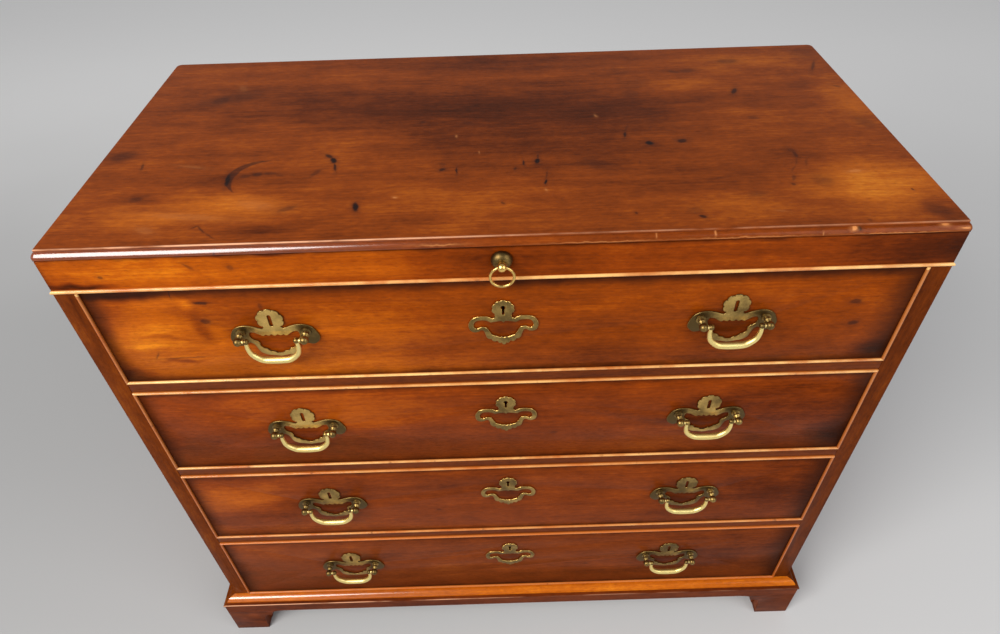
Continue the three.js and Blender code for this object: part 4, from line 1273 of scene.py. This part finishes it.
class CHEST_OT_slide(PieceOperator):
    """Adds the brushing slide: its face, the pale bead along its foot and its board"""
    bl_idname = "chest.slide"
    bl_label = "Brushing slide"

    def execute(self, context):
        sizes = context.scene.chest_sizes
        low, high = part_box("slide_front")
        back = FRONT + 11 * MM
        bm = bmesh.new()
        bmesh.ops.create_cube(bm, size=1.0)
        for vert in bm.verts:
            x, y, z = vert.co
            vert.co = (
                math.copysign(CASE_RIGHT, x), back if y > 0 else FRONT, high.z if z > 0 else low.z
            )
        long_edges = [edge for edge in bm.edges if edge.calc_length() > CASE_RIGHT]
        bmesh.ops.subdivide_edges(bm, edges=long_edges, cuts=23, use_grid_fill=True)
        for face in bm.faces:
            face.smooth = True
        mesh = settled(bm, "slide_face")
        board = show("slide_face", mesh, "slide", [slide_look()], ["slide_front"])
        ease_arrises(board, sizes.arris).harden_normals = True
        radius, inner = 2 * MM, -0.4 * MM
        profile = [(inner, 0), *arc((0.6 * MM, radius), radius, -90, 90, 12), (inner, radius * 2)]
        path = three_sides(back, low.z, 1.9 * MM)
        strip = moulded("slide_bead", path, profile, wobble=sizes.moulding_wobble, seed=11.0)
        bead = bead_look("Slide bead", 87.0, turned_leg, 0.16)
        show("slide_bead", strip, "slide", [bead], ["slide_front"])
        inner = wood(
            "Mahogany slide board", mahogany(0.8), "X", 89.0, 0.5, 0.4, roughness=0.36
        )
        eased("slide_board", "slide_shelf", inner, sizes.arris)
        return {"FINISHED"}


class CHEST_OT_drawers(PieceOperator):
    """Adds the drawer fronts and their dovetailed oak boxes"""
    bl_idname = "chest.drawers"
    bl_label = "Drawers"

    def execute(self, context):
        sizes = context.scene.chest_sizes
        arris = sizes.arris * 0.6
        lining = oak(
            "Oak drawer lining", ("X", "Y", side_walls), 97.0, 0.5, 0.35, 0.45, roughness=0.6
        )
        for number in DRAWERS:
            node = f"drawer_{number}_front"
            low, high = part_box(node)
            share, tint, tone, figure = DRAWER_SHADES[number]
            patches = on_front(DRAWER_TONES_AND_PAINTED_LIGHT[number], (low.z + high.z) / 2)
            # Painted darker round the handles and the escutcheon: dirt and painted shade
            for side in SIDES:
                grip = HANDLES[number, side]
                patches += on_front([(grip.x / MM, grip.z / MM - 4, 68, 48, -0.26)])
            patches += on_front([(0, high.z / MM - 56, 55, 40, -0.2)])
            # The front's margins are painted darker: dirt, and painted shade under the bead above
            look = wood(
                f"Mahogany drawer {number}", mahogany(share, tint), "X", 100.0 + 7 * number, tone,
                figure, 0.26, patches, on_front(DRAWER_KNOTS[number]), box=(low, high), soil=0.86,
                margin=(0.026, 0.046, 0.014, 0.016), roughness=0.32, gloss=0.04, mottling=0.5,
            )
            eased(node, f"front_{number}", look, arris)
            eased(f"drawer_{number}_box", f"box_{number}", lining, arris, 1)
            self.add_bead(number, sizes.moulding_wobble * 0.5)
        return {"FINISHED"}

    @staticmethod
    def add_bead(number, wobble):
        """Adds the cockbead round a drawer's front; the top drawer has none along its top."""
        node = f"drawer_{number}_cockbead"
        low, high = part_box(node)
        radius, root = 1.5 * MM, -7.4 * MM
        profile = [(0, root), *arc((-radius, 1.1 * MM), radius, 0, 180, 12), (-radius * 2, root)]
        corners = [(low.x, high.z), (low.x, low.z), (high.x, low.z), (high.x, high.z)]
        mesh = moulded(
            f"bead_{number}", [Vector((x, FRONT, z)) for x, z in corners], profile, (0, -1, 0),
            closed=number > 1, wobble=wobble, seed=float(number),
        )
        # The lower beads get less of the painted highlight
        highlight_fade = 0.3 * (number - 1)
        look = bead_look(f"Cockbead {number}", 130.0 + number, mitred_at(low, high), highlight_fade)
        show(f"bead_{number}", mesh, f"drawer_{number}", [look], [node])


def bail_tree():
    """Geometry Nodes for a bail: a bar along a path, thin at its ends and swelled in its middle."""
    graph, given = new_tree(
        "Bail", End_radius="Float", Middle_radius="Float", Swell_power="Float", Steps="Int",
        Faces="Int",
    )
    line = graph.add("GeometryNodeMeshToCurve", None, {"Mesh": given("Geometry")})
    sockets = {"Curve": line(), "Count": given("Steps")}
    even = graph.add("GeometryNodeResampleCurve", None, sockets)
    share = graph.add("GeometryNodeSplineParameter")("Factor")
    swell = graph.math("SINE", share * math.pi) ** given("Swell power")
    radius = given("End radius") + (given("Middle radius") - given("End radius")) * swell
    sockets = {"Resolution": given("Faces"), "Radius": 1.0}
    ring = graph.add("GeometryNodeCurvePrimitiveCircle", {"mode": "RADIUS"}, sockets)
    sockets = {
        "Curve": even(), "Profile Curve": ring("Curve"), "Scale": radius, "Fill Caps": True,
    }
    return close_tree(graph, given, graph.add("GeometryNodeCurveToMesh", None, sockets)())


class CHEST_OT_handles(PieceOperator):
    """Adds the pierced plates with their turned posts, and the bails"""
    bl_idname = "chest.handles"
    bl_label = "Handles"

    def execute(self, context):
        sizes = context.scene.chest_sizes
        slot = arc((0, 10.8 * MM), 1.8 * MM, 180, 360, 8) + arc((0, 23.2 * MM), 1.8 * MM, 0, 180, 8)
        plate = pierced_plate(
            "plate", palmette(centre=18.4 * MM, radius=15 * MM, spread=134), PLATE_EDGE,
            PLATE_OPENING, PLATE_SIZES, slot, sizes.plate_bevel,
        )
        posts = turned_pair("post", self.post_profile(), 35.5 * MM)
        fitting = shaded(joined("handle plate", [plate, *posts]), 38)
        # The plates are painted lighter on the left and on the upper drawers than on the right and
        # the lower ones: painted light and shade
        cast = {
            (lower, side): brass(
                f"Brass plates {side} {'lower' if lower else 'upper'}", 151.0 + lower,
                rubbed_and_lit - lower * 0.16, middle=HANDLES[1, side].x,
            )
            for side, rubbed_and_lit in (("left", 0.58), ("right", 0.46)) for lower in (0, 1)
        }
        rim = brass("Brass posts", 155.0, 0.3)
        shades = colours_of("brass_light", "brass_bright")
        polished = metal("Brass bails", *shades, 157.0, 0.7, (0.5, 0.42))
        bar = grown(
            "bail", bail_tree(), self.bail_path(), End_radius=sizes.bail_end,
            Middle_radius=sizes.bail_middle, Swell_power=1.7, Steps=sizes.bail_steps, Faces=20,
            Material=polished,
        )
        knop = 3.3 * MM
        profile = [(0, -knop), *arc((0, 0), knop, -90, 90, 16)[1:-1], (0, knop)]
        ends = turned_pair("knop", profile, 27 * MM, 28)
        bar = shaded(joined("bail", [bar, *ends]), 50)
        for (number, side), pivot in HANDLES.items():
            drawer, name = f"drawer_{number}", f"drawer_{number}_{side}"
            piece = moved(fitting, "plate", Vector((pivot.x, FRONT, pivot.z)))
            looks = [cast[number > 2, side], rim]
            show(f"handle_{number}_{side}", piece, drawer, looks, [f"{name}_plate"])
            piece = moved(bar, "bail", pivot)
            looks = [polished, rim]
            show(f"bail_{number}_{side}", piece, f"{name}_bail", looks, [f"{name}_bail"])
        return {"FINISHED"}

    @staticmethod
    def post_profile():
        """Shank, collar, neck, ring and ball of a post, with its nut behind the drawer front."""
        face, ball, radius = 2.1, 15.4, 4.8
        neck = [
            (5.3, 0.15), (3.4, 0.24), (2.9, 0.42), (3.6, 0.56), (4.3, 0.64), (4.3, 0.74),
            (3.4, 0.84),
        ]
        return mm(
            (0, -24.5), (2.4, -24.5), (2.4, -23.3), (5.2, -23.3), (5.6, -22.6), (5.6, -20.9),
            (5.2, -20.3), (2.4, -20.3), (2.4, 0.3), (5.4, face - 0.9), (5.6, face + 0.3),
            *((across, face + (ball - radius - face) * share) for across, share in neck),
            *arc((0, ball), radius, -60, 90, 14)[:-1], (0, ball + radius),
        )

    @staticmethod
    def bail_path():
        """The bail's line, from pin to pin, about its hinge."""
        shoulder, drop, face = 27.4 * MM, 28.5 * MM, 30.7 * MM
        shares = [(1.03, 0.02), (1, 0.1), (1, 0.35), (0.9, 0.68), (0.6, 0.94), (0.3, 1)]
        half = [(face + 3.2 * MM, 0), (face - 0.4 * MM, 0)]
        half += [(shoulder * across, -drop * down) for across, down in shares]
        line = smooth_line([[(-x, z) for x, z in half] + half[::-1]], 6)
        mesh = bpy.data.meshes.new("bail line")
        edges = [(index, index + 1) for index in range(len(line) - 1)]
        mesh.from_pydata([(x, 0, z) for x, z in line], edges, [])
        return mesh


class CHEST_OT_escutcheons(PieceOperator):
    """Adds the pierced escutcheons over the keyholes"""
    bl_idname = "chest.escutcheons"
    bl_label = "Escutcheons"

    def execute(self, context):
        pin, slit, level = 2.6 * MM, 1.3 * MM, 3.5 * MM
        turn = math.degrees(math.acos(slit / pin))
        keyhole = [(-slit, level - 10 * MM), (slit, level - 10 * MM)]
        keyhole += arc((0, level), pin, -turn, 180 + turn, 16)
        plate = pierced_plate(
            "escutcheon", palmette(centre=1.6 * MM, radius=12.4 * MM, spread=120.6),
            ESCUTCHEON_EDGE, ESCUTCHEON_OPENING, ESCUTCHEON_SIZES, keyhole,
            context.scene.chest_sizes.plate_bevel,
        )
        # The bevelled rims are painted bright: rubbed brass and a painted highlight
        looks = [
            brass("Brass escutcheons", 163.0, 0.35), brass("Brass escutcheon rims", 165.0, 0.65),
        ]
        for number in DRAWERS:
            drawer = f"drawer_{number}"
            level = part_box(f"{drawer}_front")[1].z - 40 * MM
            piece = moved(plate, "escutcheon", Vector((0, FRONT, level)))
            show(f"escutcheon_{number}", piece, drawer, looks, [f"{drawer}_escutcheon"])
        return {"FINISHED"}


class CHEST_OT_locks(PieceOperator):
    """Adds the locks behind the drawer fronts, and their bolts"""
    bl_idname = "chest.locks"
    bl_label = "Locks"

    def execute(self, context):
        shades = colours_of("brass_dark", "iron")
        look = metal("Lock plates", *shades, 171.0, 0.5, (0.55, 0.4))
        for number in DRAWERS:
            eased(f"drawer_{number}_lock", f"lock_{number}", look, 0.3 * MM)
            eased(f"drawer_{number}_lock_bolt", f"bolt_{number}", look, 0.3 * MM)
        return {"FINISHED"}


class CHEST_OT_ring_pull(PieceOperator):
    """Adds the ring pull of the slide: a domed rose, its eye and the ring"""
    bl_idname = "chest.ring_pull"
    bl_label = "Ring pull"

    def execute(self, context):
        pivot = PIVOTS["pull_ring_swing"]
        rose, eye, eye_reach = 11 * MM, 5 * MM, 13.2 * MM
        neck = eye * math.cos(math.radians(45))
        dome = [
            (neck + (rose - neck) * across, 0.9 * MM + 7.4 * MM * out)
            for across, out in arc((0, 0), 1, 0, 90, 12)
        ]
        profile = [
            *mm((0, -5.4), (2.6, -5.4), (2.6, 0.3)), (rose - 0.3 * MM, 0.3 * MM),
            (rose, 0.6 * MM), *dome, *arc((0, eye_reach), eye, -45, 90, 14)[:-1],
            (0, eye_reach + eye),
        ]
        knob = placed("knob", turned("knob", profile, (pivot.x, FRONT, pivot.z), 48))
        bore = turned("bore", mm((0, -12), (2.4, -12), (2.4, 12), (0, 12)), (0, 0, 0))
        bore.transform(Matrix.Translation(pivot) @ Matrix.Rotation(math.pi / 2, 4, "Z"))
        cutter = placed("bore", bore)
        boolean = knob.modifiers.new("Bore", "BOOLEAN")
        boolean.object = cutter
        boolean.operation = "DIFFERENCE"
        drilled = shaded(plain_mesh(knob), 38)
        bpy.data.objects.remove(cutter)
        look = brass("Brass knob", 181.0, 0.2, reach=(FRONT - 6 * MM, FRONT - 17 * MM))
        show("knob", drilled, "slide", [look], ["pull_knob"])
        polished = brass("Brass ring", 187.0, 0.75)
        ring = self.ring_mesh(pivot, 12.1 * MM, context.scene.chest_sizes.ring_wire)
        show("ring", ring, "pull_ring", [polished], ["pull_ring"])
        return {"FINISHED"}

    @staticmethod
    def ring_mesh(pivot, mean, wire):
        """A ring that hangs from the pivot, worn a little thin where it rubs the eye."""
        bm = bmesh.new()
        rings = []
        for x, z in arc((0, 0), 1, 90, -270, 72)[:-1]:
            out = Vector((x, 0, z))
            centre = pivot - Vector((0, 0, mean)) + out * mean
            radius = wire * (1 - 0.08 * max(0.0, z) ** 6)
            rings.append([
                bm.verts.new(centre + out * across + Vector((0, back, 0)))
                for across, back in arc((0, 0), radius, 0, 360, 14)[:-1]
            ])
        bridge(bm, rings, closed=True)
        return shaded(settled(bm, "ring"), 60)


# Lamps: place, size, power and tint. They point at the middle of the fronts.
LAMPS = {
    "Key": ((-1.65, -1.85, 2.4), 1.7, 93.0, (1.0, 0.99, 0.97)),
    "Fill": ((2.1, -1.9, 2.0), 2.2, 34.0, (0.99, 0.99, 1.0)),
}
LAMP_TARGET = Vector((0, -0.1, 0.5))
CAMERA_PLACE = Vector((-0.0027, -0.7553, 1.2024))
CAMERA_PITCH, CAMERA_YAW, CAMERA_ROLL = 0.7438, -0.001494, -0.03278
CAMERA_LENS, CAMERA_SENSOR = 24.84, 36
SKY = (0.99, 0.99, 1.0, 1.0)
SKY_STRENGTH = 0.32
BACKDROP = 0.92


class CHEST_OT_stage(PieceOperator):
    """Adds the plain floor, the lamps, the world and the camera"""
    bl_idname = "chest.stage"
    bl_label = "Stage"

    def execute(self, context):
        self.add_floor(context.scene.chest_sizes.floor_reach)
        context.scene.camera = self.add_camera()
        for name, (place, size, power, tint) in LAMPS.items():
            data = bpy.data.lights.new(name, "AREA")
            data.size, data.energy, data.color = size, power, tint
            aim = (LAMP_TARGET - Vector(place)).to_track_quat("-Z", "Y").to_matrix().to_4x4()
            placed(name, data).matrix_world = Matrix.Translation(place) @ aim
        world = bpy.data.worlds.new("Studio")
        world.use_nodes = True
        graph = Graph(world.node_tree)
        sockets = {"Color": SKY, "Strength": SKY_STRENGTH}
        shade = graph.add("ShaderNodeBackground", None, sockets)()
        graph.add("ShaderNodeOutputWorld", None, {"Surface": shade})
        context.scene.world = world
        context.scene.view_settings.view_transform = "Standard"
        return {"FINISHED"}

    @staticmethod
    def add_floor(reach):
        """Adds a floor that pales into the backdrop, to the right and behind the chest. Its left is
        a painted shadow of the chest, and far off it has a faint painted glow.
        """
        bm = bmesh.new()
        bmesh.ops.create_grid(bm, x_segments=24, y_segments=24, size=reach)
        mesh = mesh_of(bm, "floor")
        material, graph, place = new_material("Floor")
        tone = colours_of("floor")[0]
        bright = (*(min(part * 1.24, BACKDROP) for part in tone[:3]), 1.0)
        x, y, _ = axes_of(graph, place)
        mottle = graph.noise(place, 1.2, 2.0, 5.0)
        away = graph.rise(y + (mottle - 0.5) * 0.3, 0.1, 2.3)
        # Painted shadow: the floor is painted darker to the left of the chest
        colour = graph.mix(graph.rise(x, -1.2, 1.1), dimmed(tone, 0.76), bright)
        colour = graph.mix(away, colour, (BACKDROP, BACKDROP, BACKDROP, 1.0))
        # A faint painted glow on the far floor, seen by the camera and in reflections
        ray = graph.add("ShaderNodeLightPath")
        seen = (ray("Is Camera Ray") + ray("Is Glossy Ray") + ray("Is Transmission Ray")) * away
        lift = graph.mix(seen, (0.0, 0.0, 0.0, 1.0), (0.07, 0.07, 0.07, 1.0))
        close_material(graph, {
            "Base Color": colour, "Roughness": 0.75, "IOR": 1.3, "Emission Color": lift,
            "Emission Strength": 1.0,
        })
        mesh.materials.append(material)
        placed("floor", mesh)

    @staticmethod
    def add_camera():
        data = bpy.data.cameras.new("Camera")
        data.lens = CAMERA_LENS
        data.sensor_width = CAMERA_SENSOR
        camera = placed("Camera", data)
        level = math.cos(CAMERA_PITCH)
        forward = Vector((
            math.sin(CAMERA_YAW) * level, math.cos(CAMERA_YAW) * level, -math.sin(CAMERA_PITCH)
        ))
        right = forward.cross(Vector((0, 0, 1))).normalized()
        up = right.cross(forward)
        across = right * math.cos(CAMERA_ROLL) + up * math.sin(CAMERA_ROLL)
        upward = up * math.cos(CAMERA_ROLL) - right * math.sin(CAMERA_ROLL)
        turn = Matrix((across, upward, -forward)).transposed().to_4x4()
        camera.matrix_world = Matrix.Translation(CAMERA_PLACE) @ turn
        return camera


class CHEST_PT_panel(bpy.types.Panel):
    bl_label = "Bachelors chest"
    bl_idname = "CHEST_PT_panel"
    bl_space_type = "VIEW_3D"
    bl_region_type = "UI"
    bl_category = "Chest"

    def draw(self, context):
        layout = self.layout
        for group in (context.scene.chest_sizes, context.scene.chest_colours):
            column = layout.column()
            for name in group.__annotations__:
                column.prop(group, name)
        for operator in OPERATORS:
            layout.operator(operator.bl_idname)


OPERATORS = (
    CHEST_OT_case,
    CHEST_OT_top,
    CHEST_OT_base,
    CHEST_OT_back,
    CHEST_OT_slide,
    CHEST_OT_drawers,
    CHEST_OT_handles,
    CHEST_OT_escutcheons,
    CHEST_OT_locks,
    CHEST_OT_ring_pull,
    CHEST_OT_stage,
)
CLASSES = (ChestSizes, ChestColours, *OPERATORS, CHEST_PT_panel)


def register():
    for cls in CLASSES:
        bpy.utils.register_class(cls)
    bpy.types.Scene.chest_sizes = PointerProperty(type=ChestSizes)
    bpy.types.Scene.chest_colours = PointerProperty(type=ChestColours)


def unregister():
    del bpy.types.Scene.chest_colours
    del bpy.types.Scene.chest_sizes
    for cls in reversed(CLASSES):
        bpy.utils.unregister_class(cls)


def main():
    register()
    for operator in OPERATORS:
        group, name = operator.bl_idname.split(".")
        getattr(getattr(bpy.ops, group), name)()
    bpy.context.view_layer.update()


if __name__ == "__main__":
    main()
